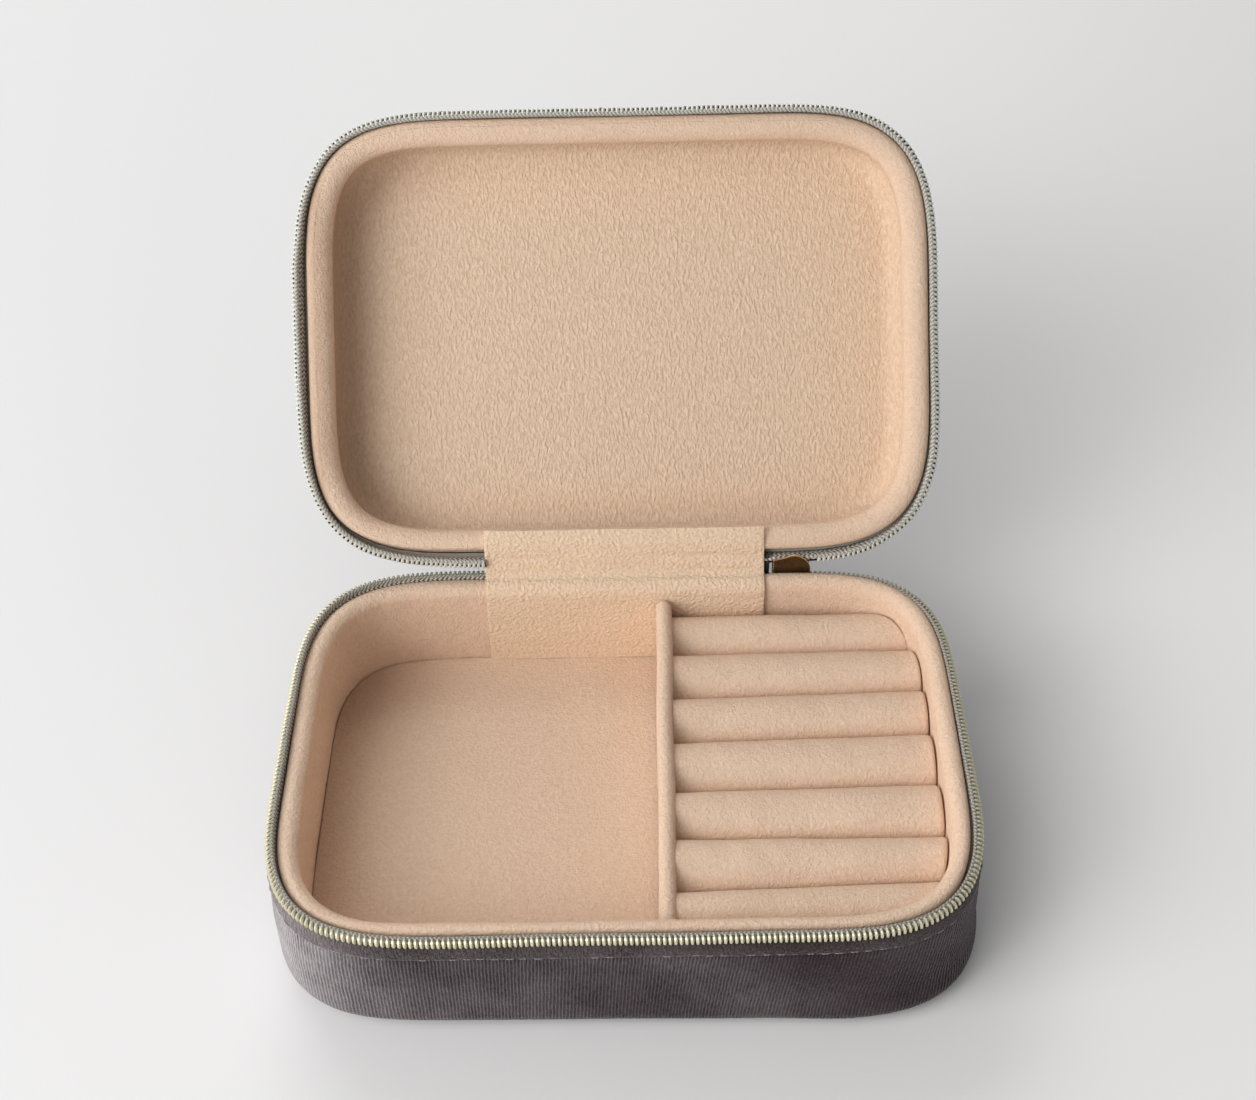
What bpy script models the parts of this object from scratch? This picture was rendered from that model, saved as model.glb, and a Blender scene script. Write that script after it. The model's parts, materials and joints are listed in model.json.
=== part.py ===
"""Zip travel jewellery box, standing open, as separate solids.

Two stiff shells share one rounded rim outline. Each shell is a board tray with a velvet cover outside
and a padded suede lining inside. A zip runs round both rims, an inner flap and an outer cloth hinge join
the shells at the back, and the base holds a divider and a bed of padded ring rolls.

Metres, +Z up. The origin is the middle of the base's underside, +X is to the right and +Y to the back.
Across the rim wall, places are written as an offset, outwards from the lining's outer edge, and a depth,
from a shell's rim plane into that shell. The lid's meshes are made closed, around the hinge axis, and an
empty on that axis turns them open.
"""

import math

import bmesh
import bpy
from mathutils import Matrix, Vector

# Rim outline at the lining's outer edge, the same for both shells
RIM_HALF_WIDTH = 0.0785
RIM_HALF_DEPTH = 0.0547
CORNER_EXTENT = 0.0434
CORNER_POWER = 3.55

# Gap between the two lining rims when the box is zipped up
CLOSED_GAP = 0.0031

# Lid hinge: its axis, from the base's rim edge at the back, and how far the lid stands open
AXIS_BEHIND_RIM = 0.00196
AXIS_ABOVE_RIM = 0.00496
OPEN_ANGLE = math.radians(130.87)

# Layers of the rim wall, from the lining outwards
CLEARANCE = 0.0003
BOARD_EDGE = 0.001
TAPE_THICKNESS = 0.0004
COVER_THICKNESS = 0.0008
HEM_THICKNESS = 0.001
BASE_LINING = 0.004
LID_LINING = 0.0058

# Depths at which those layers start and end
BOARD_TOP = 0.003
HEM_TOP = 0.0009
HEM_BOTTOM = 0.0055
TAPE_RISE = 0.0014
TAPE_BOTTOM = 0.008
COIL_HEIGHT = 0.002
COIL_THICKNESS = 0.0012

# Rounded edges
OUTER_EDGE_RADIUS = 0.006
BASE_RIM_INNER_RADIUS = 0.0022
BASE_RIM_OUTER_RADIUS = 0.0015
LID_RIM_INNER_RADIUS = 0.003
LID_RIM_OUTER_RADIUS = 0.0022
ARC_STEPS = 3
FOOT_STEPS = 2
FILLET_STEPS = 5

# Floors of the two shells: their depths and the layers under them, which make up the shells' heights
TRAY_FLOOR = 0.0015
BASE_FLOOR_DEPTH = 0.025
FLOOR_PAD_THICKNESS = 0.003
FLOOR_BOARD_THICKNESS = 0.0018
LID_PANEL_DEPTH = 0.017
LID_PANEL_THICKNESS = 0.0023
LID_BOARD_THICKNESS = 0.0015
LID_PANEL_FILLET = 0.0045

# Divider and ring rolls
DIVIDER_THICKNESS = 0.0034
DIVIDER_FROM_CENTRE = 0.0103
DIVIDER_TOP_DEPTH = 0.0048
ROLL_COUNT = 7
ROLL_CREST_DEPTH = 0.006
ROLL_END_GAP = 0.0008
ROLL_STEPS = 10

# Inner flap and outer cloth hinge
FLAP_THICKNESS = 0.0008
FLAP_LEFT = 0.0345
FLAP_RIGHT = 0.0363
FLAP_LID_REACH = 0.0052
FLAP_STEPS = 8
FLAP_HANDLE = 0.0016
CLOTH_THICKNESS = 0.0005
CLOTH_TURN = 0.0026
CLOTH_HANDLE = 0.0026

# Zip: where its tapes and coils start and end beside the hinge, and the dip that lets the slider through
TAPE_RIGHT = 0.0353
COIL_RIGHT = 0.053
DIP_DEPTH = 0.0025
DIP_END = 0.051
DIP_RAMP = 0.0068

# Slider, its bail and the pull tab
SLIDER_LEFT = 0.0387
SLIDER_LENGTH = 0.0096
PLATE_THICKNESS = 0.00055
PLATE_BOTTOM_DEPTH = 0.0015
PLATE_RISE = 0.0054
OUTER_PLATE_RISE = 0.0003
OUTER_PLATE_DEPTH = 0.0052
BRIDGE_HEIGHT = 0.0009
BRIDGE_LENGTH = 0.0038
BRIDGE_FROM_LEFT = 0.0048
BAIL_OUT = 0.0018
BAIL_DEPTH = 0.0036
BAIL_BAR_RADIUS = 0.00045
BAIL_EAR = 0.0006
BAIL_EAR_HEIGHT = 0.0018
TAB_EYE_LENGTH = 0.0022
TAB_EYE_RADIUS = 0.00145
TAB_WIDTH = 0.0046
TAB_LENGTH = 0.021
TAB_THICKNESS = 0.0009
ROUND_SIDES = 16
CUT_OVERRUN = 0.002

# Edges bent further than this stay sharp when a piece is shaded smooth
SHARP_ANGLE = math.radians(35)

# Shares of the quarter turn at which each corner has its points, closest where it starts to bend
CORNER_SHARES = (0, 0.01, 0.05, 0.13, 0.24, 0.37, 0.5, 0.63, 0.76, 0.87, 0.95, 0.99, 1)

# Shares of the slider's length, from its closed end, each with a share of the height or depth there: the
# inner plate's top, the outer plate's bottom and the bridge's thickness
PLATE_TOP_SHARES = (
    (0, 0.80),
    (0.06, 0.84),
    (0.25, 0.93),
    (0.42, 1),
    (0.58, 0.96),
    (0.76, 0.82),
    (0.92, 0.55),
    (1, 0.3),
)
OUTER_BOTTOM_SHARES = ((0, 0.70), (0.1, 0.86), (0.3, 1), (0.7, 1), (0.9, 0.84), (1, 0.6))
BRIDGE_SHARES = ((0, 0.5), (0.5, 1), (1, 0.5))

# Shares of the pull tab's length below its eye, each with a share of its width
TAB_SHARES = ((0, 0.44), (0.08, 0.5), (0.2, 0.94), (0.3, 1), (0.9, 1), (0.97, 0.8), (1, 0.5))

# Places that follow from the sizes above
BOARD_INNER = CLEARANCE
BOARD_OUTER = BOARD_INNER + BOARD_EDGE
TAPE_INNER = BOARD_OUTER + CLEARANCE
TAPE_OUTER = TAPE_INNER + TAPE_THICKNESS
COVER_INNER = TAPE_OUTER + CLEARANCE
COVER_OUTER = COVER_INNER + COVER_THICKNESS
HEM_OUTER = COVER_INNER + HEM_THICKNESS
COIL_INNER = TAPE_OUTER + CLEARANCE
COIL_OUTER = COIL_INNER + COIL_THICKNESS
TRAY_OUTER = COVER_INNER - CLEARANCE
TRAY_RADIUS = OUTER_EDGE_RADIUS - COVER_THICKNESS - CLEARANCE
TRAY_INNER_RADIUS = TRAY_RADIUS - TRAY_FLOOR
COVER_TOP = HEM_BOTTOM + CLEARANCE
FLOOR_STACK = COVER_THICKNESS + CLEARANCE + TRAY_FLOOR
PAD_BOTTOM = BASE_FLOOR_DEPTH + FLOOR_PAD_THICKNESS
FLOOR_BOARD_TOP = PAD_BOTTOM + CLEARANCE
FLOOR_BOARD_BOTTOM = FLOOR_BOARD_TOP + FLOOR_BOARD_THICKNESS
BASE_HEIGHT = FLOOR_BOARD_BOTTOM + CLEARANCE + FLOOR_STACK
PANEL_BOTTOM = LID_PANEL_DEPTH + LID_PANEL_THICKNESS
LID_BOARD_TOP = PANEL_BOTTOM + CLEARANCE
LID_BOARD_BOTTOM = LID_BOARD_TOP + LID_BOARD_THICKNESS
LID_HEIGHT = LID_BOARD_BOTTOM + CLEARANCE + FLOOR_STACK
BASE_RIM_Z = BASE_HEIGHT
LID_RIM_Z = BASE_RIM_Z + CLOSED_GAP
HINGE_AXIS = Vector((0, RIM_HALF_DEPTH + AXIS_BEHIND_RIM, BASE_RIM_Z + AXIS_ABOVE_RIM))
ZIP_LEFT = FLAP_LEFT + CLEARANCE
CLOTH_RIGHT = TAPE_RIGHT - CLEARANCE
DIVIDER_LEFT = DIVIDER_FROM_CENTRE - DIVIDER_THICKNESS / 2
DIVIDER_RIGHT = DIVIDER_LEFT + DIVIDER_THICKNESS
WALL_INSIDE_Y = RIM_HALF_DEPTH - BASE_LINING
FLAP_FACE_Y = WALL_INSIDE_Y - CLEARANCE - FLAP_THICKNESS


def paint(name, red, green, blue, roughness, metallic=0.0):
    """Make a Principled material from a linear colour."""
    material = bpy.data.materials.new(name)
    material.use_nodes = True
    shader = material.node_tree.nodes["Principled BSDF"]
    shader.inputs["Base Color"].default_value = (red, green, blue, 1)
    shader.inputs["Roughness"].default_value = roughness
    shader.inputs["Metallic"].default_value = metallic
    material.diffuse_color = (red, green, blue, 1)
    return material


def solid(name, loops, material, ring=False, parent=None, origin=None):
    """Join loops of points, each to the next, into one closed solid.

    A ring joins its last loop to its first. Otherwise both end loops are filled.
    """
    origin = Vector((0, 0, 0)) if origin is None else origin
    mesh_data = bmesh.new()
    rows = [[mesh_data.verts.new(Vector(point) - origin) for point in loop] for loop in loops]
    pairs = list(zip(rows, rows[1:]))
    if ring:
        pairs.append((rows[-1], rows[0]))
    for row, following in pairs:
        for k in range(len(row)):
            j = (k + 1) % len(row)
            mesh_data.faces.new((row[k], row[j], following[j], following[k]))
    if not ring:
        mesh_data.faces.new(rows[0])
        mesh_data.faces.new(rows[-1])
    bmesh.ops.recalc_face_normals(mesh_data, faces=mesh_data.faces)
    mesh = bpy.data.meshes.new(name)
    mesh_data.to_mesh(mesh)
    mesh_data.free()
    return place(name, mesh, material, parent, origin)


def place(name, mesh, material, parent=None, origin=None):
    """Put a mesh in the scene, on an empty's axis where it has a parent."""
    mesh.shade_smooth()
    mesh.set_sharp_from_angle(angle=SHARP_ANGLE)
    mesh.materials.append(material)
    body = bpy.data.objects.new(name, mesh)
    bpy.context.scene.collection.objects.link(body)
    if parent is not None:
        body.parent = parent
    elif origin is not None:
        body.location = origin
    return body


def add_empty(name, location, turn=0.0):
    """An axis marker: what is parented to it turns about its X axis."""
    marker = bpy.data.objects.new(name, None)
    marker.location = location
    marker.rotation_euler = (turn, 0, 0)
    bpy.context.scene.collection.objects.link(marker)
    return marker


def boolean(body, tool, operation):
    """Join a second solid to a body, or cut it away."""
    change = body.modifiers.new(operation.lower(), "BOOLEAN")
    change.operation = operation
    change.solver = "EXACT"
    change.object = tool
    tool.hide_render = True
    tool.display_type = "WIRE"


def corner_point(angle):
    """Point of a unit superellipse quarter whose normal stands at this angle from the X axis."""
    if angle >= math.pi / 2:
        return 0.0, 1.0
    slope = math.tan(angle) ** (1 / (CORNER_POWER - 1))
    x = (1 + slope**CORNER_POWER) ** (-1 / CORNER_POWER)
    return x, slope * x


def corner_stations(sign_x, sign_y, backwards):
    """Points of one rounded corner of the rim, each with its outward normal."""
    angles = [math.pi / 2 * share for share in CORNER_SHARES]
    if backwards:
        angles.reverse()
    straight_x = RIM_HALF_WIDTH - CORNER_EXTENT
    straight_y = RIM_HALF_DEPTH - CORNER_EXTENT
    stations = []
    for angle in angles:
        unit_x, unit_y = corner_point(angle)
        x = sign_x * (straight_x + CORNER_EXTENT * unit_x)
        y = sign_y * (straight_y + CORNER_EXTENT * unit_y)
        normal = Vector((sign_x * math.cos(angle), sign_y * math.sin(angle)))
        stations.append((Vector((x, y)), normal))
    return stations


def rim_stations():
    """The whole rim, clockwise from above, starting at the back's right corner."""
    return (
        corner_stations(1, 1, True)
        + corner_stations(1, -1, False)
        + corner_stations(-1, -1, True)
        + corner_stations(-1, 1, False)
    )


def back_station(x):
    """Point of the rim's back edge at this x, on the chord between its two neighbours."""
    across = corner_stations(-1, 1, False) + corner_stations(1, 1, True)
    for (a, a_normal), (b, b_normal) in zip(across, across[1:]):
        if a.x <= x <= b.x and b.x > a.x:
            share = (x - a.x) / (b.x - a.x)
            return a.lerp(b, share), a_normal.lerp(b_normal, share)
    return across[0] if x < 0 else across[-1]


def zip_stations(right, left):
    """The rim from one side of the hinge round the front to the other side."""
    around = rim_stations()
    start = [s for s in around if s[0].y > 0 and s[0].x > right + CLEARANCE]
    front = [s for s in around if s[0].y <= 0]
    end = [s for s in around if s[0].y > 0 and s[0].x < -left - CLEARANCE]
    return [back_station(right)] + start + front + end + [back_station(-left)]


def dip_at(point):
    """How far the slider pushes the zip's edge down at this point of the rim."""
    if point.y < 0 or point.x < 0:
        return 0.0
    along = min(max((DIP_END + DIP_RAMP - point.x) / DIP_RAMP, 0), 1)
    return DIP_DEPTH * along * along * (3 - 2 * along)


class Shell:
    """One half of the box, which turns places across its rim wall into points and carries profiles round.

    Its `into` is the sign of z from its rim plane into it: -1 for the base and 1 for the closed lid.
    """

    def __init__(self, rim_z, into, height, origin, parent):
        self.rim_z = rim_z
        self.into = into
        self.height = height
        self.origin = origin
        self.parent = parent

    def z(self, depth):
        return self.rim_z + self.into * depth

    def point(self, station, offset, depth):
        point, normal = station
        flat = point + normal * offset
        return Vector((flat.x, flat.y, self.z(depth)))

    def sweep(self, name, profile, material, ring):
        """Carry a profile of (offset, depth) points round the whole rim."""
        stations = rim_stations()
        loops = [[self.point(s, offset, depth) for s in stations] for offset, depth in profile]
        return solid(name, loops, material, ring, self.parent, self.origin)

    def band(self, name, inner, outer, top, bottom, material):
        """Carry a four-sided section round the rim, from one side of the hinge to the other.

        Its top edge follows the dip at the slider.
        """
        loops = []
        for station in zip_stations(TAPE_RIGHT, ZIP_LEFT):
            upper = top + dip_at(station[0])
            corners = ((inner, upper), (outer, upper), (outer, bottom), (inner, bottom))
            loops.append([self.point(station, offset, depth) for offset, depth in corners])
        return solid(name, loops, material, False, self.parent, self.origin)


def arc(centre, radius, start, end, steps=ARC_STEPS):
    """Points of an arc across the wall; angles in degrees, 0 outwards and 90 towards the rim plane."""
    points = []
    for k in range(steps + 1):
        angle = math.radians(start + (end - start) * k / steps)
        points.append((centre[0] + radius * math.cos(angle), centre[1] - radius * math.sin(angle)))
    return points


def make_cover(shell, name, material):
    """Velvet cover: a thin tray round the sides and the floor of the shell."""
    outer_centre = (COVER_OUTER - OUTER_EDGE_RADIUS, shell.height - OUTER_EDGE_RADIUS)
    inner_radius = OUTER_EDGE_RADIUS - COVER_THICKNESS
    outside = arc(outer_centre, OUTER_EDGE_RADIUS, -90, 0)
    inside = arc(outer_centre, inner_radius, 0, -90)
    profile = outside + [(COVER_OUTER, COVER_TOP), (COVER_INNER, COVER_TOP)] + inside
    return shell.sweep(name, profile, material, False)


def make_tray(shell, name, material):
    """Stiff board tray, thinner at its edge where the zip tape lies on it."""
    floor = shell.height - COVER_THICKNESS - CLEARANCE
    outer_centre = (TRAY_OUTER - TRAY_RADIUS, floor - TRAY_RADIUS)
    inner_centre = (BOARD_INNER - TRAY_INNER_RADIUS, floor - TRAY_FLOOR - TRAY_INNER_RADIUS)
    step_depth = TAPE_BOTTOM + CLEARANCE
    outside = arc(outer_centre, TRAY_RADIUS, -90, 0)
    outside += [(TRAY_OUTER, step_depth), (BOARD_OUTER, step_depth)]
    edge = [(BOARD_OUTER, BOARD_TOP), (BOARD_INNER, BOARD_TOP)]
    inside = arc(inner_centre, TRAY_INNER_RADIUS, 0, -90)
    return shell.sweep(name, outside + edge + inside, material, False)


def make_lining_wall(shell, name, thickness, rim_radii, material):
    """Padded wall: a rounded rim above, a straight inside face, and a foot that fits the tray's corner."""
    inner_radius, outer_radius = rim_radii
    foot_depth = shell.height - FLOOR_STACK - CLEARANCE
    foot_radius = TRAY_INNER_RADIUS
    foot = arc((-foot_radius, foot_depth - foot_radius), foot_radius, -90, 0, FOOT_STEPS)
    outer_round = arc((-outer_radius, outer_radius), outer_radius, 0, 90)
    inner_round = arc((inner_radius - thickness, inner_radius), inner_radius, 90, 180)
    profile = foot + outer_round + inner_round + [(-thickness, foot_depth)]
    return shell.sweep(name, profile, material, True)


def make_plate(shell, name, inset, top, bottom, material):
    """A flat board or pad that fills the lining wall."""
    return shell.sweep(name, [(-inset, top), (-inset, bottom)], material, False)


def make_lid_panel(shell, material):
    """The lid's panel pad: dished, with its edge curving up the lining wall."""
    edge = -LID_LINING - CLEARANCE
    centre = (edge - LID_PANEL_FILLET, LID_PANEL_DEPTH - LID_PANEL_FILLET)
    rise = arc(centre, LID_PANEL_FILLET, -90, 0, FILLET_STEPS)
    profile = rise[:-1] + [(edge - CLEARANCE, centre[1]), (edge, centre[1]), (edge, PANEL_BOTTOM)]
    return shell.sweep("lid_panel_pad", profile, material, False)


def make_zip(shell, side, tape_material, coil_material):
    """Zip tape and tooth coil of one shell."""
    shell.band("zip_tape_" + side, TAPE_INNER, TAPE_OUTER, -TAPE_RISE, TAPE_BOTTOM, tape_material)
    stations = zip_stations(COIL_RIGHT, ZIP_LEFT)
    middle = (COIL_INNER + COIL_OUTER) / 2
    half = COIL_THICKNESS / 2
    chamfer = half / 2
    top = -TAPE_RISE
    bottom = top + COIL_HEIGHT
    section = (
        (middle - half, top + chamfer),
        (middle - chamfer, top),
        (middle + chamfer, top),
        (middle + half, top + chamfer),
        (middle + half, bottom - chamfer),
        (middle + chamfer, bottom),
        (middle - chamfer, bottom),
        (middle - half, bottom - chamfer),
    )
    loops = [[shell.point(s, offset, depth) for offset, depth in section] for s in stations]
    solid("zip_coil_" + side, loops, coil_material, False, shell.parent, shell.origin)


def make_divider(material):
    """Board across the tray from front to back, with a rounded top edge."""
    front = -(WALL_INSIDE_Y - CLEARANCE)
    back = FLAP_FACE_Y - CLEARANCE
    half = DIVIDER_THICKNESS / 2
    top = BASE_RIM_Z - DIVIDER_TOP_DEPTH
    foot = BASE_RIM_Z - BASE_FLOOR_DEPTH + CLEARANCE
    outline = [(half, foot)]
    for k in range(ROLL_STEPS + 1):
        angle = math.pi * k / ROLL_STEPS
        outline.append((half * math.cos(angle), top - half + half * math.sin(angle)))
    outline.append((-half, foot))
    loops = [[Vector((DIVIDER_FROM_CENTRE + x, y, z)) for x, z in outline] for y in (front, back)]
    return solid("divider_board", loops, material)


def wall_x(y, inset):
    """Inside face of the right wall at this y, this far in from the lining's outer edge."""
    stations = corner_stations(1, 1, True)
    points = [point - normal * inset for point, normal in stations]
    reach = abs(y)
    for a, b in zip(points, points[1:]):
        if b.y <= reach <= a.y:
            share = (reach - a.y) / (b.y - a.y)
            return a.x + (b.x - a.x) * share
    return points[-1].x if reach < points[-1].y else points[0].x


def make_rolls(material):
    """Padded rolls side by side, each a rounded bar whose right end follows the tray's corner."""
    front = -(WALL_INSIDE_Y - CLEARANCE)
    back = FLAP_FACE_Y - CLEARANCE
    pitch = (back - front) / ROLL_COUNT
    half = (pitch - CLEARANCE) / 2
    foot = BASE_RIM_Z - BASE_FLOOR_DEPTH + CLEARANCE
    crest = BASE_RIM_Z - ROLL_CREST_DEPTH
    left = DIVIDER_RIGHT + CLEARANCE
    for number in range(ROLL_COUNT):
        middle = back - pitch * (number + 1 / 2)
        loops = []
        for k in range(ROLL_STEPS + 1):
            angle = math.pi * k / ROLL_STEPS
            y = middle - half * math.cos(angle)
            z = crest - half + half * math.sin(angle)
            right = wall_x(y, BASE_LINING + ROLL_END_GAP)
            loops.append([(left, y, foot), (right, y, foot), (right, y, z), (left, y, z)])
        solid("ring_roll_" + str(number + 1), loops, material)


def lid_place(offset, depth):
    """Where a point of the lid's back wall lies with the lid open, as (y, z)."""
    closed = Vector((0, RIM_HALF_DEPTH + offset, LID_RIM_Z + depth))
    opened = Matrix.Rotation(-OPEN_ANGLE, 3, "X") @ (closed - HINGE_AXIS) + HINGE_AXIS
    return Vector((opened.y, opened.z))


def bezier(first, second, third, fourth, steps):
    """Points of a cubic curve, without its first one."""
    points = []
    for k in range(1, steps + 1):
        t = k / steps
        s = 1 - t
        points.append(first * s**3 + second * (3 * s * s * t) + third * (3 * s * t * t) + fourth * t**3)
    return points


def strip(name, path, thickness, left, right, material):
    """A strip of cloth: a path in the plane x = 0, given thickness and width."""
    loops = []
    for k, point in enumerate(path):
        before = path[max(k - 1, 0)]
        after = path[min(k + 1, len(path) - 1)]
        along = (after - before).normalized()
        side = Vector((-along.y, along.x)) * (thickness / 2)
        near_y, near_z = point - side
        far_y, far_z = point + side
        near = [(left, near_y, near_z), (right, near_y, near_z)]
        loops.append(near + [(right, far_y, far_z), (left, far_y, far_z)])
    return solid(name, loops, material)


def make_flap(material):
    """Inner flap: from the lid's rim over the gap, then down the base's back wall to the floor."""
    half = FLAP_THICKNESS / 2
    wall_y = WALL_INSIDE_Y - CLEARANCE - half
    foot = BASE_RIM_Z - BASE_FLOOR_DEPTH + CLEARANCE
    round_centre = Vector((WALL_INSIDE_Y + BASE_RIM_INNER_RADIUS, BASE_RIM_Z - BASE_RIM_INNER_RADIUS))
    radius = BASE_RIM_INNER_RADIUS + CLEARANCE + half
    path = [Vector((wall_y, foot)), Vector((wall_y, (foot + round_centre.y) / 2))]
    for k in range(ARC_STEPS + 1):
        angle = math.pi - math.pi / 2 * k / ARC_STEPS
        path.append(round_centre + Vector((math.cos(angle), math.sin(angle))) * radius)
    lift = -(CLEARANCE + half)
    lid_start = lid_place(-LID_RIM_OUTER_RADIUS, lift)
    lid_end = lid_place(-FLAP_LID_REACH, lift)
    outwards = (lid_place(0, lift) - lid_start).normalized()
    last = path[-1]
    handle = Vector((FLAP_HANDLE, 0))
    path += bezier(last, last + handle, lid_start + outwards * FLAP_HANDLE, lid_start, FLAP_STEPS)
    path.append(lid_end)
    return strip("hinge_flap", path, FLAP_THICKNESS, -FLAP_LEFT, FLAP_RIGHT, material)


def make_hinge_cloth(material):
    """Outer hinge: velvet fixed to both trays, folding inwards between the two rims."""
    middle = TAPE_INNER + CLOTH_THICKNESS / 2
    base_y = RIM_HALF_DEPTH + middle
    base_foot = Vector((base_y, BASE_RIM_Z - TAPE_BOTTOM))
    base_turn = Vector((base_y, BASE_RIM_Z - CLOTH_TURN))
    lid_turn = lid_place(middle, CLOTH_TURN)
    lid_foot = lid_place(middle, TAPE_BOTTOM)
    back = (lid_turn - lid_foot).normalized() * CLOTH_HANDLE
    path = [base_foot, base_turn]
    path += bezier(base_turn, base_turn + Vector((0, CLOTH_HANDLE)), lid_turn + back, lid_turn, FLAP_STEPS)
    path.append(lid_foot)
    return strip("hinge_cloth", path, CLOTH_THICKNESS, -FLAP_LEFT, CLOTH_RIGHT, material)


def bar(name, radius, length, material, origin, sides=ROUND_SIDES):
    """A round bar along X, centred on its origin."""
    loops = []
    for x in (-length / 2, length / 2):
        loop = []
        for k in range(sides):
            angle = 2 * math.pi * k / sides
            loop.append(origin + Vector((x, radius * math.cos(angle), radius * math.sin(angle))))
        loops.append(loop)
    return solid(name, loops, material, False, None, origin)


def block(name, low, high, material, origin):
    """A box between two corners."""
    loops = []
    for x in (low.x, high.x):
        loops.append([(x, low.y, low.z), (x, high.y, low.z), (x, high.y, high.z), (x, low.y, high.z)])
    return solid(name, loops, material, False, None, origin)


def make_slider(metal):
    """Slider body: a peaked plate inside the rim, a low plate outside it, and a bridge between the coils."""
    rim = BASE_RIM_Z
    inner_y = RIM_HALF_DEPTH + CLEARANCE
    outer_y = RIM_HALF_DEPTH + HEM_OUTER + CLEARANCE
    origin = Vector((SLIDER_LEFT, inner_y, rim))
    inner_bottom = rim - PLATE_BOTTOM_DEPTH
    loops = []
    for along, height in PLATE_TOP_SHARES:
        x = SLIDER_LEFT + SLIDER_LENGTH * along
        top = rim + PLATE_RISE * height
        y = inner_y + PLATE_THICKNESS
        loops.append([(x, inner_y, inner_bottom), (x, y, inner_bottom), (x, y, top), (x, inner_y, top)])
    body = solid("slider_body", loops, metal, False, None, origin)
    outer_top = rim + OUTER_PLATE_RISE
    loops = []
    for along, depth in OUTER_BOTTOM_SHARES:
        x = SLIDER_LEFT + SLIDER_LENGTH * along
        bottom = rim - OUTER_PLATE_DEPTH * depth
        y = outer_y + PLATE_THICKNESS
        loops.append([(x, outer_y, bottom), (x, y, bottom), (x, y, outer_top), (x, outer_y, outer_top)])
    outer_plate = solid("slider_outer_plate_tool", loops, metal, False, None, origin)
    start = SLIDER_LEFT + BRIDGE_FROM_LEFT
    overlap = PLATE_THICKNESS / 2
    loops = []
    for along, narrow in BRIDGE_SHARES:
        x = start + BRIDGE_LENGTH * along
        low = outer_top - BRIDGE_HEIGHT / 2 * (1 + narrow)
        high = outer_top - BRIDGE_HEIGHT / 2 * (1 - narrow)
        near = inner_y + overlap
        far = outer_y + overlap
        loops.append([(x, near, low), (x, far, low), (x, far, high), (x, near, high)])
    bridge = solid("slider_bridge_tool", loops, metal, False, None, origin)
    boolean(body, outer_plate, "UNION")
    boolean(body, bridge, "UNION")


def make_bail_and_tab(metal):
    """Bail: two ears and a bar outside the slider. Pull tab: an eye on the bar with a long plate below it."""
    plate_face = RIM_HALF_DEPTH + HEM_OUTER + CLEARANCE + PLATE_THICKNESS
    middle_x = SLIDER_LEFT + SLIDER_LENGTH / 2
    axis = Vector((middle_x, plate_face + BAIL_OUT, BASE_RIM_Z - BAIL_DEPTH))
    ear_gap = TAB_EYE_LENGTH / 2 + CLEARANCE
    bail = bar("slider_bail", BAIL_BAR_RADIUS, 2 * ear_gap + BAIL_EAR, metal, axis)
    for side in (-1, 1):
        inside = middle_x + side * ear_gap
        outside = inside + side * BAIL_EAR
        low = Vector((min(inside, outside), plate_face + CLEARANCE, axis.z - BAIL_EAR_HEIGHT / 2))
        high = Vector((max(inside, outside), axis.y + BAIL_EAR_HEIGHT / 2, axis.z + BAIL_EAR_HEIGHT / 2))
        boolean(bail, block("slider_bail_ear_tool", low, high, metal, axis), "UNION")
    eye = bar("pull_tab", TAB_EYE_RADIUS, TAB_EYE_LENGTH, metal, axis)
    half = TAB_THICKNESS / 2
    top = axis.z - BAIL_BAR_RADIUS - CLEARANCE
    tip = axis.z - TAB_LENGTH
    near = axis.y - half
    far = axis.y + half
    loops = []
    for along, width in TAB_SHARES:
        z = top + (tip - top) * along
        left = middle_x - TAB_WIDTH / 2 * width
        right = middle_x + TAB_WIDTH / 2 * width
        loops.append([(left, near, z), (right, near, z), (right, far, z), (left, far, z)])
    boolean(eye, solid("pull_tab_plate_tool", loops, metal, False, None, axis), "UNION")
    bore = bar("pull_tab_bore_tool", BAIL_BAR_RADIUS + CLEARANCE, TAB_EYE_LENGTH + CUT_OVERRUN, metal, axis)
    boolean(eye, bore, "DIFFERENCE")


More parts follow.
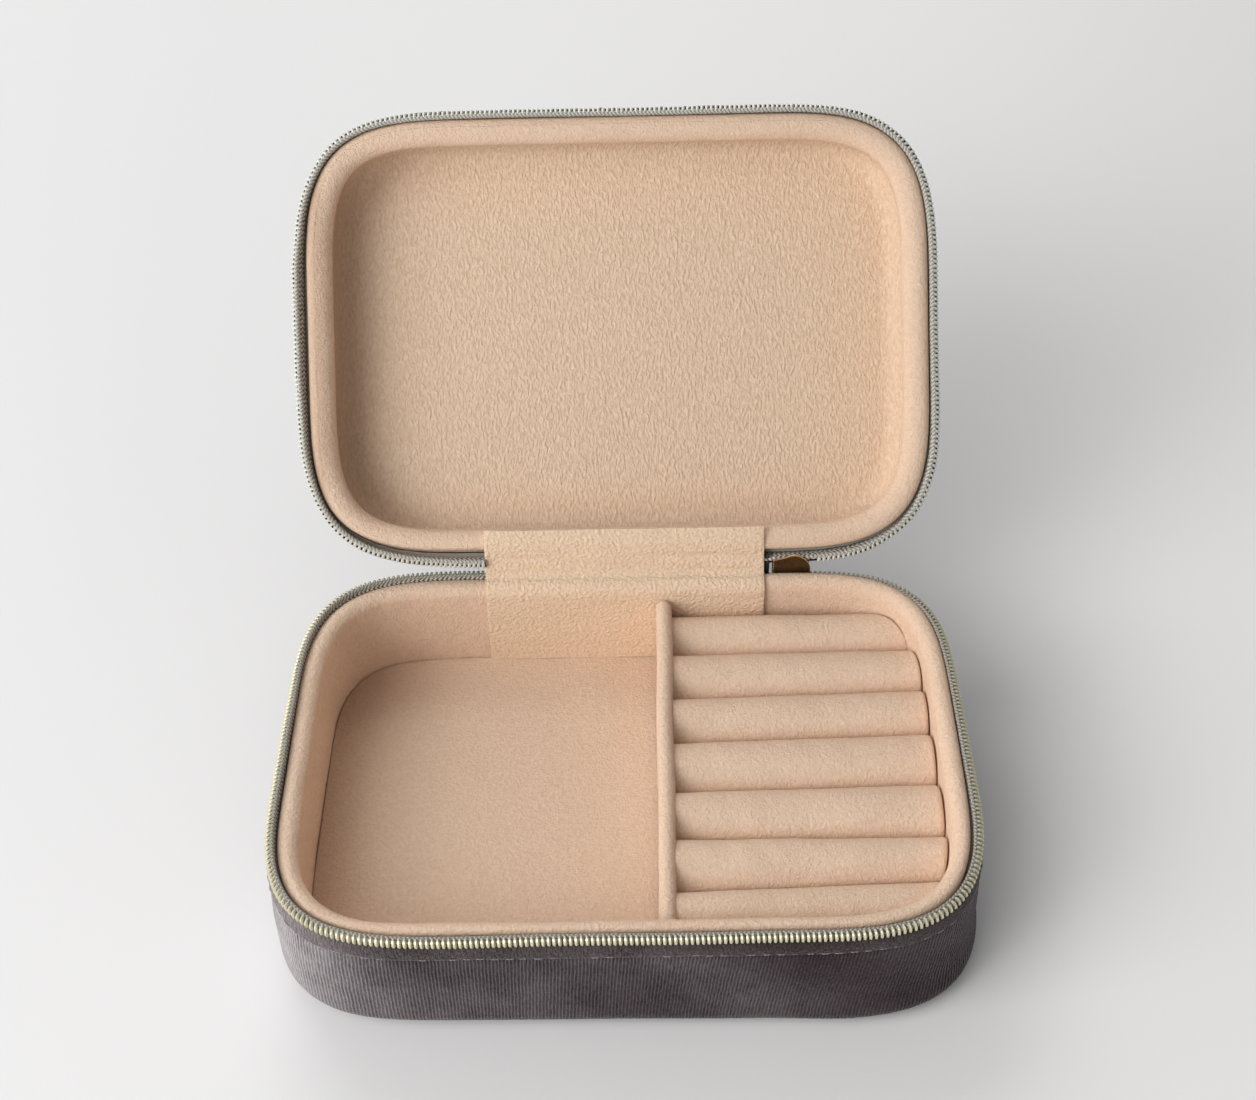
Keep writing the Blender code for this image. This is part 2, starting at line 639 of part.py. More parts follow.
def build():
    """Make every piece of the box."""
    for old in list(bpy.data.objects):
        bpy.data.objects.remove(old)
    velvet = paint("velvet", 0.10, 0.088, 0.095, 0.85)
    suede = paint("suede", 0.68, 0.49, 0.35, 0.9)
    pebble = paint("embossed_suede", 0.66, 0.46, 0.31, 0.85)
    greyboard = paint("greyboard", 0.32, 0.29, 0.25, 0.95)
    tape = paint("zip_tape", 0.28, 0.26, 0.22, 0.9)
    coil = paint("zip_coil", 0.66, 0.60, 0.42, 0.35)
    brass = paint("antique_brass", 0.36, 0.24, 0.10, 0.3, 1.0)

    lid_axis = add_empty("lid_axis", HINGE_AXIS, -OPEN_ANGLE)
    base = Shell(BASE_RIM_Z, -1, BASE_HEIGHT, None, None)
    lid = Shell(LID_RIM_Z, 1, LID_HEIGHT, HINGE_AXIS, lid_axis)

    for shell, side in ((base, "base"), (lid, "lid")):
        make_cover(shell, side + "_cover", velvet)
        make_tray(shell, side + "_board_tray", greyboard)
        shell.band(side + "_hem_band", COVER_INNER, HEM_OUTER, HEM_TOP, HEM_BOTTOM, velvet)
    base_radii = (BASE_RIM_INNER_RADIUS, BASE_RIM_OUTER_RADIUS)
    lid_radii = (LID_RIM_INNER_RADIUS, LID_RIM_OUTER_RADIUS)
    make_lining_wall(base, "base_lining_wall", BASE_LINING, base_radii, suede)
    make_lining_wall(lid, "lid_lining_wall", LID_LINING, lid_radii, suede)

    base_inset = BASE_LINING + CLEARANCE
    make_plate(base, "base_floor_pad", base_inset, BASE_FLOOR_DEPTH, PAD_BOTTOM, suede)
    make_plate(base, "base_floor_board", base_inset, FLOOR_BOARD_TOP, FLOOR_BOARD_BOTTOM, greyboard)
    lid_inset = LID_LINING + CLEARANCE
    make_lid_panel(lid, pebble)
    make_plate(lid, "lid_panel_board", lid_inset, LID_BOARD_TOP, LID_BOARD_BOTTOM, greyboard)

    make_zip(base, "lower", tape, coil)
    make_zip(lid, "upper", tape, coil)
    make_divider(suede)
    make_rolls(suede)
    make_flap(pebble)
    make_hinge_cloth(velvet)
    make_slider(brass)
    make_bail_and_tab(brass)


build()
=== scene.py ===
# %% [markdown]
# # A zip travel jewellery box, standing open
# The box is two shallow trays of board, covered in ribbed velvet and lined with nude microsuede. A coil zip
# runs round both rims, a suede flap and a velvet hinge join the trays at the back, and the base holds a
# divider and a bed of padded rolls for rings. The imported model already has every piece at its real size
# and place, so the lesson starts by loading it and then dresses each piece in its real form and finish.

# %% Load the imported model
import json
import math

import bpy
import numpy as np
from mathutils import Matrix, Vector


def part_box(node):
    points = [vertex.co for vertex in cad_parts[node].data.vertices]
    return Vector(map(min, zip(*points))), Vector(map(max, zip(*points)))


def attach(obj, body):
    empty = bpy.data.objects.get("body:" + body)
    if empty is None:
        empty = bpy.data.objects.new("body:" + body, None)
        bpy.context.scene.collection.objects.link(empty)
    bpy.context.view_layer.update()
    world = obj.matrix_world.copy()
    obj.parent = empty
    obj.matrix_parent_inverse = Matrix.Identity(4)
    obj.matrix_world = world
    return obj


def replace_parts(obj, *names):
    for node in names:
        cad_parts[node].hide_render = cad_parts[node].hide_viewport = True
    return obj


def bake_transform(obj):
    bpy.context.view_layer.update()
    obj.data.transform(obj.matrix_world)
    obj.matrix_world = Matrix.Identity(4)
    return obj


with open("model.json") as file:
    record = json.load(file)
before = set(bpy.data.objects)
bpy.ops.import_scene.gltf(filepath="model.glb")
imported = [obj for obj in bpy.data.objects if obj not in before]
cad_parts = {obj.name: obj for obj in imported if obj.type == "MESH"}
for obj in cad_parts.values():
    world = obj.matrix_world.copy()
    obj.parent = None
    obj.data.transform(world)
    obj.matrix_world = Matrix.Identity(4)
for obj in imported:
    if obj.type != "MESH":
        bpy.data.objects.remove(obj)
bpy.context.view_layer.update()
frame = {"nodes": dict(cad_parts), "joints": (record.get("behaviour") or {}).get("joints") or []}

# %% [markdown]
# ## Sizes
# Everything is in metres. Small sizes are written in millimetres times `MM`. The rim's size, the rim's
# height and the hinge come from the model itself, so the new surfaces land where its solids are. With the
# box shut, the lid's rim stands `CLOSED_GAP` over the base's.

# %% Sizes that every piece shares
MM = 0.001
lining_low, lining_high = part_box("base_lining_wall")
RIM_HALF_WIDTH = lining_high.x
RIM_HALF_DEPTH = lining_high.y
BASE_RIM = lining_high.z
CLOSED_GAP = 3.1 * MM
BASE_HEIGHT = 33 * MM
LID_HEIGHT = 24 * MM
hinge = next(joint for joint in frame["joints"] if joint["name"] == "lid_hinge")
HINGE_POINT = np.array(hinge["pos_m"])
OPEN_ANGLE = math.radians(hinge["range_deg"][1])
print("rim", round(RIM_HALF_WIDTH / MM, 2), "by", round(RIM_HALF_DEPTH / MM, 2), "mm from the middle")

# %% [markdown]
# ## The rim line
# Seen from above, each corner of the box is softer than a circle's quarter and blends into the straight
# sides without a visible start. A superellipse does this: it is the curve where |x|^n + |y|^n = 1, here
# with n = 3.55. Its points are worked out once, and every wall, band and loop of the zip then asks for
# points at a distance along this one line, so that all the layers of the rim stay parallel.

# %% A table of the rim line
CORNER_EXTENT = 43.4 * MM
CORNER_POWER = 3.55
CORNER_SAMPLES = 500


def make_rim_table():
    """Points of the rim, clockwise from above, from the middle of the back edge round to it again.

    A corner's point at the polar angle q lies at the reach (cos^n q + sin^n q)^(-1/n), and its outward
    normal runs along (cos^(n-1) q, sin^(n-1) q). Columns: distance along the rim, x, y, normal x, normal y.
    """
    quarter = np.linspace(0, np.pi / 2, CORNER_SAMPLES)
    q = np.concatenate([quarter[::-1], quarter, quarter[::-1], quarter])
    sign_x = np.repeat([1, 1, -1, -1], CORNER_SAMPLES)
    sign_y = np.repeat([1, -1, -1, 1], CORNER_SAMPLES)
    cosine, sine = np.clip(np.cos(q), 0, 1), np.sin(q)
    reach = (cosine**CORNER_POWER + sine**CORNER_POWER) ** (-1 / CORNER_POWER)
    x = sign_x * (RIM_HALF_WIDTH - CORNER_EXTENT + CORNER_EXTENT * reach * cosine)
    y = sign_y * (RIM_HALF_DEPTH - CORNER_EXTENT + CORNER_EXTENT * reach * sine)
    points = np.stack([x, y], -1)
    normals = np.stack([sign_x * cosine ** (CORNER_POWER - 1), sign_y * sine ** (CORNER_POWER - 1)], -1)
    normals /= np.linalg.norm(normals, axis=1, keepdims=True)
    middle = np.array([[0, RIM_HALF_DEPTH]])
    points = np.concatenate([middle, points, middle])
    normals = np.concatenate([[[0, 1]], normals, [[0, 1]]])
    steps = np.linalg.norm(np.diff(points, axis=0), axis=1)
    distance = np.concatenate([[0], np.cumsum(steps)])
    return np.column_stack([distance, points, normals])


rim_table = make_rim_table()
RIM_LENGTH = rim_table[-1, 0]
print("the rim is", round(RIM_LENGTH / MM, 1), "mm round")


# %% Points on the rim line
def rim_at(distance):
    """Points (x, y) and outward normals of the rim at these distances along it, read from the table."""
    wrapped = np.mod(distance, RIM_LENGTH)
    columns = [np.interp(wrapped, rim_table[:, 0], rim_table[:, k]) for k in range(1, 5)]
    normals = np.stack(columns[2:], -1)
    return np.stack(columns[:2], -1), normals / np.linalg.norm(normals, axis=-1, keepdims=True)


print("front middle of the rim at", (rim_at(RIM_LENGTH / 2)[0] / MM).round(1), "mm")


# %% Points across the wall of a shell
def into_shell(shell, x, y, depth):
    """Points of a shell at a depth below its rim plane.

    In the base, z is the rim's height less the depth. In the lid, z is the closed lid's rim plus the depth,
    and the point then turns about the hinge line by the angle at which the lid stands open.
    """
    x, y, depth = np.broadcast_arrays(x, y, depth)
    if shell == "base":
        return np.stack([x, y, BASE_RIM - depth], -1)
    up = BASE_RIM + CLOSED_GAP + depth - HINGE_POINT[2]
    back = y - HINGE_POINT[1]
    cosine, sine = math.cos(OPEN_ANGLE), math.sin(OPEN_ANGLE)
    turned_y = HINGE_POINT[1] + back * cosine + up * sine
    turned_z = HINGE_POINT[2] - back * sine + up * cosine
    return np.stack([x, turned_y, turned_z], -1)


def wall_grid(shell, distance, offset, depth, inset_share=1.0):
    """Grid of points, one row per profile point and one column per place along the rim.

    Each point is the rim's point plus the offset times the outward normal, at its depth in the shell. An
    inset share below 1 draws a row in towards the middle, as a floor needs.
    """
    points, normals = rim_at(distance)
    shape = (len(offset), len(distance))
    offset, depth = (v if np.ndim(v) == 2 else np.asarray(v)[:, None] for v in (offset, depth))
    offset, depth = np.broadcast_to(offset, shape), np.broadcast_to(depth, shape)
    share = np.broadcast_to(np.reshape(inset_share, (-1, 1)), (shape[0], 1))
    x = (points[:, 0] + normals[:, 0] * offset) * share
    y = (points[:, 1] + normals[:, 1] * offset) * share
    return into_shell(shell, x, y, depth)


print("front of the lid's rim at", (into_shell("lid", 0, -RIM_HALF_DEPTH, 0) / MM).round(1), "mm")

# %% [markdown]
# ## From a grid to a mesh
# A surface that is a function of two parameters is a grid of points, and its faces follow from the grid's
# row and column numbers, so whole arrays can be handed to Blender at once. Where a grid closes on itself
# its last line joins its first. A pattern such as a weave needs a map that follows the surface, so each
# face corner also gets a place on a flat map, in metres, and that makes every pattern's scale a real size.


# %% Build a mesh from arrays
SHARP_FROM = math.radians(50)


def add_mesh(name, points, faces, places, material):
    """Make an object from points, faces (an array of quads and a list of others) and map places per corner.

    The sum over the quads of corner . (side x side) is their signed volume. Where it is negative the
    surface is inside out, and all its faces are turned.
    """
    quads, others = faces
    mesh = bpy.data.meshes.new(name)
    mesh.from_pydata(points.tolist(), [], quads.tolist() + others)
    flat = mesh.uv_layers.new(name="surface_map")
    flat.data.foreach_set("uv", np.asarray(places, np.float32).ravel())
    corners = points[quads]
    first = np.cross(corners[:, 1] - corners[:, 0], corners[:, 2] - corners[:, 0])
    second = np.cross(corners[:, 2] - corners[:, 0], corners[:, 3] - corners[:, 0])
    volume = (corners[:, 0] * (first + second)).sum()
    if volume < 0:
        mesh.flip_normals()
    mesh.shade_smooth()
    mesh.set_sharp_from_angle(angle=SHARP_FROM)
    mesh.materials.append(material)
    piece = bpy.data.objects.new(name, mesh)
    bpy.context.scene.collection.objects.link(piece)
    return piece


print("edges are sharp from", round(math.degrees(SHARP_FROM)), "degrees")


# %% Measure lines and keep values
def measured(points):
    """Distance along a line of points, from 0, by adding up the steps between them."""
    return np.concatenate([[0], np.cumsum(np.linalg.norm(np.diff(points, axis=0), axis=-1))])


def points_of(piece):
    """A piece's points as an array."""
    points = np.empty(len(piece.data.vertices) * 3)
    piece.data.vertices.foreach_get("co", points)
    return points.reshape(-1, 3)


def set_values(piece, name, values):
    """Keep one number per point on a piece, under a name that its material reads."""
    kept = piece.data.attributes.new(name, "FLOAT", "POINT")
    kept.data.foreach_set("value", np.ravel(values).astype(np.float32))


print("a step of 3 and 4 measures", measured(np.array([(0, 0), (3, 4)]))[-1])


# %% Tables and chains drawn smooth
def eased(table, distance):
    """A value that changes round the rim: entries (share of the way, value), eased by t * t * (3 - 2 t)."""
    share, value = np.array(table).T
    place = distance / RIM_LENGTH
    k = np.clip(np.searchsorted(share, place, side="right") - 1, 0, len(share) - 2)
    t = (place - share[k]) / (share[k + 1] - share[k])
    return value[k] + (value[k + 1] - value[k]) * t * t * (3 - 2 * t)


def smooth_line(points, steps):
    """A denser line through the points: each coordinate is a cubic in the distance along the chain."""
    distance = measured(points)
    place = np.linspace(0, distance[-1], steps)
    slope = np.gradient(points, distance, axis=0)
    k = np.clip(np.searchsorted(distance, place, side="right") - 1, 0, len(points) - 2)
    gap = (distance[k + 1] - distance[k])[:, None]
    t = (place - distance[k])[:, None] / gap
    start, end = points[k], points[k + 1]
    return (
        (2 * t**3 - 3 * t**2 + 1) * start
        + (t**3 - 2 * t**2 + t) * gap * slope[k]
        + (3 * t**2 - 2 * t**3) * end
        + (t**3 - t**2) * gap * slope[k + 1]
    )


print("half way up an eased step:", eased([(0, 0), (1, 1)], np.array([RIM_LENGTH / 2]))[0])


# %% A closed surface from a grid
def add_surface(name, grid, material, wrap_rows=False, wrap_columns=False, fans=False, flat_places=None):
    """Turn a grid of points (rows, columns, 3) into one closed piece.

    Rows that wrap close a section, and columns that wrap close a ring. Open columns get an end face each,
    and with `fans` the first and last rows each close on a point in their middle. Map places are the
    distance along the middle row and along the middle column, or the ones given for each point, with one
    line more where the grid wraps.
    """
    rows, columns = grid.shape[:2]
    i, j = np.meshgrid(np.arange(rows - (not wrap_rows)), np.arange(columns - (not wrap_columns)), indexing="ij")
    row = np.stack([i, i, i + 1, i + 1], -1).reshape(-1, 4)
    column = np.stack([j, j + 1, j + 1, j], -1).reshape(-1, 4)
    quads = (row % rows) * columns + column % columns
    if flat_places is None:
        along = measured(np.concatenate([grid[rows // 2], grid[rows // 2, :1]]))
        across = measured(np.concatenate([grid[:, columns // 2], grid[:1, columns // 2]]))
        places = np.stack([along[column], across[row]], -1).reshape(-1, 2)
    else:
        places = flat_places[row, column].reshape(-1, 2)
    points = grid.reshape(-1, 3)
    others = []
    if fans:
        middles = np.stack([grid[0].mean(0), grid[-1].mean(0)])
        points = np.concatenate([points, middles])
        ring = np.arange(columns)
        for start, middle in ((0, len(points) - 2), ((rows - 1) * columns, len(points) - 1)):
            first, second = start + ring, start + (ring + 1) % columns
            if start == 0:
                first, second = second, first
            others += np.stack([first, second, np.full(columns, middle)], -1).tolist()
            if flat_places is not None:
                edge = flat_places[start // columns, :columns]
                centre = np.tile(edge.mean(0), (columns, 1))
                corners = np.stack([edge[first - start], edge[second - start], centre], 1)
                places = np.concatenate([places, corners.reshape(-1, 2)])
            else:
                places = np.concatenate([places, np.zeros((columns * 3, 2))])
    if wrap_rows and not wrap_columns:
        ring = np.arange(rows) * columns
        others += [ring.tolist(), (ring[::-1] + columns - 1).tolist()]
        places = np.concatenate([places, np.zeros((rows * 2, 2))])
    return add_mesh(name, points, (quads, others), places, material)


# %% A sheet from its middle
def add_sheet(name, middle, thickness, material):
    """Give a grid of mid-surface points a thickness: half to each side along the surface's own normal.

    The normal is the cross product of the grid's steps along rows and along columns. The two sides join
    round the border, so the sheet is one closed piece.
    """
    rows, columns = middle.shape[:2]
    down, right = np.gradient(middle, axis=0), np.gradient(middle, axis=1)
    normal = np.cross(down, right)
    normal /= np.linalg.norm(normal, axis=-1, keepdims=True)
    half = np.broadcast_to(thickness, (rows, columns))[..., None] / 2
    points = np.concatenate([(middle + normal * half).reshape(-1, 3), (middle - normal * half).reshape(-1, 3)])
    i, j = (v.ravel() for v in np.meshgrid(np.arange(rows - 1), np.arange(columns - 1), indexing="ij"))
    front = np.stack([i * columns + j, i * columns + j + 1, (i + 1) * columns + j + 1, (i + 1) * columns + j], -1)
    number = np.arange(rows * columns).reshape(rows, columns)
    border = np.concatenate([number[0], number[1:, -1], number[-1, -2::-1], number[-2:0:-1, 0]])
    following = np.roll(border, -1)
    side = rows * columns
    rim = np.stack([following, border, border + side, following + side], -1)
    quads = np.concatenate([front, front[:, ::-1] + side, rim])
    along, down_by = measured(middle[rows // 2]), measured(middle[:, columns // 2])
    flat = np.stack([np.tile(along, rows), np.repeat(down_by, columns)], -1)
    return add_mesh(name, points, (quads, []), flat[quads % side].reshape(-1, 2), material)


# %% Many short tubes at once
def add_tubes(name, paths, frames, radius, material, sides=5):
    """Many short tubes in one piece, each round its own path.

    A tube's ring at a path point is the point plus the radius times the cosine of the turn along one
    frame vector and the sine along the other. Arrays: paths (tubes, points, 3), frames two of the same.
    """
    tubes, steps = paths.shape[:2]
    turn = np.arange(sides) * 2 * np.pi / sides
    first, second = (frame_side[:, :, None, :] for frame_side in frames)
    reach = np.broadcast_to(radius, (tubes, steps))[..., None, None]
    rings = paths[:, :, None] + reach * (np.cos(turn)[:, None] * first + np.sin(turn)[:, None] * second)
    k, i, j = np.meshgrid(np.arange(tubes), np.arange(steps - 1), np.arange(sides), indexing="ij")
    here = (k * steps + i) * sides
    following, turned = here + sides, (j + 1) % sides
    quads = np.stack([here + j, here + turned, following + turned, following + j], -1).reshape(-1, 4)
    first_ring = np.arange(tubes)[:, None] * steps * sides + np.arange(sides)
    last_ring = first_ring + (steps - 1) * sides
    others = first_ring[:, ::-1].tolist() + last_ring.tolist()
    places = np.stack([i.ravel() / (steps - 1), j.ravel() / sides], -1)
    places = np.concatenate([np.repeat(places, 4, 0), np.zeros((2 * tubes * sides, 2))])
    return add_mesh(name, rings.reshape(-1, 3), (quads, others), places, material)


# %% [markdown]
# ## Small irregularities
# Nothing sewn by hand is perfectly even. A sum of plane waves in random directions, all of one wavelength,
# is a smooth random field. Its seed is fixed, so the box is the same each time the lesson runs.


# %% A smooth random field
def ripple(points, wavelength, seed, waves=12):
    """Random heights of about 1 at points in space: the scaled sum of sines along random directions."""
    chosen = np.random.default_rng(seed)
    directions = chosen.normal(size=(waves, 3))
    directions /= np.linalg.norm(directions, axis=1, keepdims=True)
    phase = chosen.uniform(0, 2 * np.pi, waves)
    return np.sin(points @ directions.T * (2 * np.pi / wavelength) + phase).sum(-1) * math.sqrt(2 / waves)


print("a ripple's height at the middle:", round(float(ripple(np.zeros(3), 10 * MM, 1)), 2))

# %% [markdown]
# ## Profiles
# A wall or a rim is described by its section, as a chain of (offset, depth) points across the wall. Such a
# chain is mostly straight runs and arcs, so two short functions give those.


# %% Arcs and straight runs
def arc(centre, radius, start, end, steps=8):
    """Profile points (offset, depth) of an arc; angles in degrees, 0 outwards and 90 towards the rim plane."""
    angle = np.radians(np.linspace(start, end, steps))
    return np.stack([centre[0] + radius * np.cos(angle), centre[1] - radius * np.sin(angle)], -1)


def line(start, end, steps):
    """Evenly spaced profile points from one place to another, both included."""
    return np.linspace(start, end, steps)


print("a quarter turn ends at", arc((0, 0), 1, 0, 90)[-1].round(3))


# %% [markdown]
# ## Finishes
# A material is a small graph of nodes. One function adds a node with its settings and links, and one turns
# a colour as it is written for the screen (sRGB) into the linear value that light works with.


# %% Node and colour helpers
def add_node(tree, kind, inputs=None, **settings):
    """Add a node. `inputs` sets each named socket to a value or links it to another node's output."""
    made = tree.nodes.new(kind)
    for name, value in settings.items():
        setattr(made, name, value)
    for name, value in (inputs or {}).items():
        if isinstance(value, bpy.types.NodeSocket):
            tree.links.new(value, made.inputs[name])
        else:
            made.inputs[name].default_value = value
    return made


def linear(code):
    """Linear colour of an sRGB hex value: v/12.92 below 0.04045, else ((v + 0.055) / 1.055)^2.4."""
    value = np.array([int(code[k : k + 2], 16) for k in (1, 3, 5)]) / 255
    value = np.where(value <= 0.04045, value / 12.92, ((value + 0.055) / 1.055) ** 2.4)
    return (*(float(v) for v in value), 1.0)


def start_finish(name, **sockets):
    """A new material with its Principled shader, whose even values are set on its own sockets."""
    material = bpy.data.materials.new(name)
    material.use_nodes = True
    tree = material.node_tree
    shader = tree.nodes["Principled BSDF"]
    for socket, value in sockets.items():
        shader.inputs[socket.replace("_", " ")].default_value = value
    return material, tree, shader


print("#808080 in linear light:", round(linear("#808080")[0], 3))


# %% [markdown]
# ### Microsuede lining
# Microsuede is a knit of very fine fibres whose brushed ends stand up as a short nap. The eye sees a matt,
# warm surface with soft blotches about a millimetre wide where the nap lies one way or the other, and a
# faint pale bloom at its edges. Two noises make the blotches and the fibres, a bump raises them, and the
# shader's sheen gives the bloom. Real fibres are far finer; they are drawn half a millimetre wide to show.
#
# Some areas also carry painted light and shade in their colour. Painted shade deepens the lid's left wall,
# the left of the lid's panel, and the floor along the base's left wall and in its back left corner, and a
# painted light makes the base's left wall paler. Each piece keeps this as a value per point, which the
# material reads.

# %% Microsuede
# the deep tone that painted shade mixes a colour towards
PAINTED_SHADE_TONE = linear("#9A7458")
NAP_WIDTH, FIBRE_WIDTH = 1.0 * MM, 0.45 * MM


def tone_by_painted_shading(tree, shader, colour):
    """Paint shade: mix the colour towards the deep tone by the piece's painted value; below 0 it paints light,
    paler, instead.
    """
    painted_amount = add_node(tree, "ShaderNodeAttribute", attribute_name="painted_shading")
    toned = add_node(
        tree,
        "ShaderNodeMix",
        {"Factor": painted_amount.outputs["Fac"], 6: colour.outputs[2], 7: PAINTED_SHADE_TONE},
        data_type="RGBA",
        clamp_factor=False,
    )
    tree.links.new(toned.outputs[2], shader.inputs["Base Color"])


def make_microsuede(name, light, dark, depth):
    """Plain brushed lining: colour and height follow a nap noise and a fibre noise in object space.

    Their mean, spread over the full range, mixes the two colours and raises the bump. Painted shade and
    painted light then tone the colour.
    """
    material, tree, shader = start_finish(name, Roughness=0.95, Sheen_Weight=0.05, Sheen_Roughness=0.5)
    shader.inputs["Specular IOR Level"].default_value = 0.08
    place = add_node(tree, "ShaderNodeTexCoord").outputs["Object"]
    nap = add_node(
        tree, "ShaderNodeTexNoise", {"Vector": place, "Scale": 1 / NAP_WIDTH, "Detail": 2.0, "Roughness": 0.55}
    )
    fibre = add_node(
        tree, "ShaderNodeTexNoise", {"Vector": place, "Scale": 1 / FIBRE_WIDTH, "Detail": 2.0, "Roughness": 0.6}
    )
    both = add_node(tree, "ShaderNodeMix", {"Factor": 0.5, 2: nap.outputs[0], 3: fibre.outputs[0]})
    spread = add_node(tree, "ShaderNodeMapRange", {"Value": both.outputs[0], "From Min": 0.35, "From Max": 0.65})
    colour = add_node(tree, "ShaderNodeMix", {"Factor": spread.outputs[0], 6: dark, 7: light}, data_type="RGBA")
    bump = add_node(tree, "ShaderNodeBump", {"Height": spread.outputs[0], "Distance": depth, "Strength": 0.8})
    tone_by_painted_shading(tree, shader, colour)
    tree.links.new(bump.outputs[0], shader.inputs["Normal"])
    return material


suede = make_microsuede("nude_microsuede", linear("#EBCFB9"), linear("#DDBFA3"), 0.24 * MM)
print("lining:", suede.name)

# %% [markdown]
# ### Embossed microsuede
# The panel in the lid and the flap at the hinge are the same cloth pressed with a fine leather-like grain:
# small raised pebbles drawn out one way, a millimetre wide and two or more long, with shallow furrows
# between them. The grain follows the cloth, so it reads the surface map, squeezed along the grain. A bent
# noise gives the drawn-out ridges and a cell pattern breaks them into pebbles.


# %% Embossed microsuede
PRESSED_FIBRE = 0.4 * MM


def make_embossed_suede(name, light, dark, grain_width, grain_length, depth, bend):
    """Pressed lining: ridges from a stretched, bent noise, cut into pebbles by a stretched cell pattern."""
    material, tree, shader = start_finish(name, Roughness=0.9, Sheen_Weight=0.05, Sheen_Roughness=0.5)
    shader.inputs["Specular IOR Level"].default_value = 0.12
    place = add_node(tree, "ShaderNodeTexCoord").outputs["UV"]
    grain = add_node(tree, "ShaderNodeMapping", {"Vector": place, "Scale": (1 / grain_width, 1 / grain_length, 1)})
    ridge = add_node(
        tree,
        "ShaderNodeTexNoise",
        {"Vector": grain.outputs[0], "Scale": 1.0, "Detail": 2.0, "Roughness": 0.55, "Distortion": bend},
    )
    pebble = add_node(
        tree,
        "ShaderNodeTexVoronoi",
        {"Vector": grain.outputs[0], "Scale": 1.15, "Smoothness": 0.35},
        feature="SMOOTH_F1",
    )
    raised = add_node(tree, "ShaderNodeMapRange", {"Value": ridge.outputs[0], "From Min": 0.35, "From Max": 0.65})
    round_top = add_node(
        tree, "ShaderNodeMapRange", {"Value": pebble.outputs[0], "From Min": 0.75, "From Max": 0.1}
    )
    height = add_node(tree, "ShaderNodeMix", {"Factor": 0.4, 2: raised.outputs[0], 3: round_top.outputs[0]})
    fibre = add_node(
        tree,
        "ShaderNodeTexNoise",
        {"Vector": place, "Scale": 1 / PRESSED_FIBRE, "Detail": 1.0, "Roughness": 0.5},
    )
    shade = add_node(tree, "ShaderNodeMix", {"Factor": 0.25, 2: height.outputs[0], 3: fibre.outputs[0]})
    colour = add_node(tree, "ShaderNodeMix", {"Factor": shade.outputs[0], 6: dark, 7: light}, data_type="RGBA")
    bump = add_node(tree, "ShaderNodeBump", {"Height": shade.outputs[0], "Distance": depth, "Strength": 0.9})
    tone_by_painted_shading(tree, shader, colour)
    tree.links.new(bump.outputs[0], shader.inputs["Normal"])
    return material


panel_suede = make_embossed_suede(
    "embossed_microsuede_panel", linear("#EFD5BD"), linear("#D3B699"), 0.75 * MM, 1.5 * MM, 0.4 * MM, 0.6
)
flap_suede = make_embossed_suede(
    "embossed_microsuede_flap", linear("#F3DAC0"), linear("#E0C2A4"), 0.95 * MM, 0.8 * MM, 0.4 * MM, 0.15
)
print("pressed lining:", panel_suede.name, flap_suede.name)

# %% [markdown]
# ### Ribbed velvet
# The outside is a taupe-grey velvet with fine upright wales, 0.8 mm apart, like a very fine needlecord. Its
# pile swallows light seen straight on and glows pale at grazing angles, which the sheen gives. The
# wales are a sine along the surface map, bent a little and broken up by noise where the pile is crushed,
# and slow patches of light and dark show where it was brushed. The pitch is rounded so that a whole number
# of wales goes round the rim, and none is cut where the strip meets itself.
# Near the front corners the colour also carries a painted highlight at the left and a painted shade at the right.

# %% Velvet's pile
WALE_PITCH = RIM_LENGTH / round(RIM_LENGTH / (0.795 * MM))
WALE_SWAY, SWAY_LENGTH = 3.5, 4 * MM
TUFT_WIDTH, TUFT_LENGTH = 0.45 * MM, 1.8 * MM


def add_pile(tree, place, ribs):
    """Height of the pile from 0 to 1: wales and tufts, mixed so that the wales have the share `ribs`.

    A wale is sin(2 pi u / pitch + sway * noise), cut flat in its valleys, where u is the map's first value.
    A tuft is a noise drawn out along the wales.
    """
    split = add_node(tree, "ShaderNodeSeparateXYZ", {0: place})
    sway = add_node(tree, "ShaderNodeTexNoise", {"Vector": place, "Scale": 1 / SWAY_LENGTH, "Detail": 2.0})
    turns = add_node(
        tree, "ShaderNodeMath", {0: split.outputs[0], 1: 2 * math.pi / WALE_PITCH}, operation="MULTIPLY"
    )
    swayed = add_node(
        tree, "ShaderNodeMath", {0: sway.outputs[0], 1: WALE_SWAY, 2: turns.outputs[0]}, operation="MULTIPLY_ADD"
    )
    wave = add_node(tree, "ShaderNodeMath", {0: swayed.outputs[0]}, operation="SINE")
    rib = add_node(tree, "ShaderNodeMapRange", {"Value": wave.outputs[0], "From Min": -0.5, "From Max": 0.95})
    tufts = (1 / TUFT_WIDTH, 1 / TUFT_LENGTH, 1)
    long_tuft = add_node(tree, "ShaderNodeMapping", {"Vector": place, "Scale": tufts})
    tuft = add_node(
        tree, "ShaderNodeTexNoise", {"Vector": long_tuft.outputs[0], "Scale": 1.0, "Detail": 3.0, "Roughness": 0.7}
    )
    tuft_spread = add_node(
        tree, "ShaderNodeMapRange", {"Value": tuft.outputs[0], "From Min": 0.36, "From Max": 0.64}
    )
    pile = add_node(tree, "ShaderNodeMix", {"Factor": ribs, 2: tuft_spread.outputs[0], 3: rib.outputs[0]})
    return pile.outputs[0]


print(round(RIM_LENGTH / WALE_PITCH), "wales round the rim")

# %% Velvet's colour
PATCH_WIDTH, PATCH_SHARE = 9 * MM, 0.22


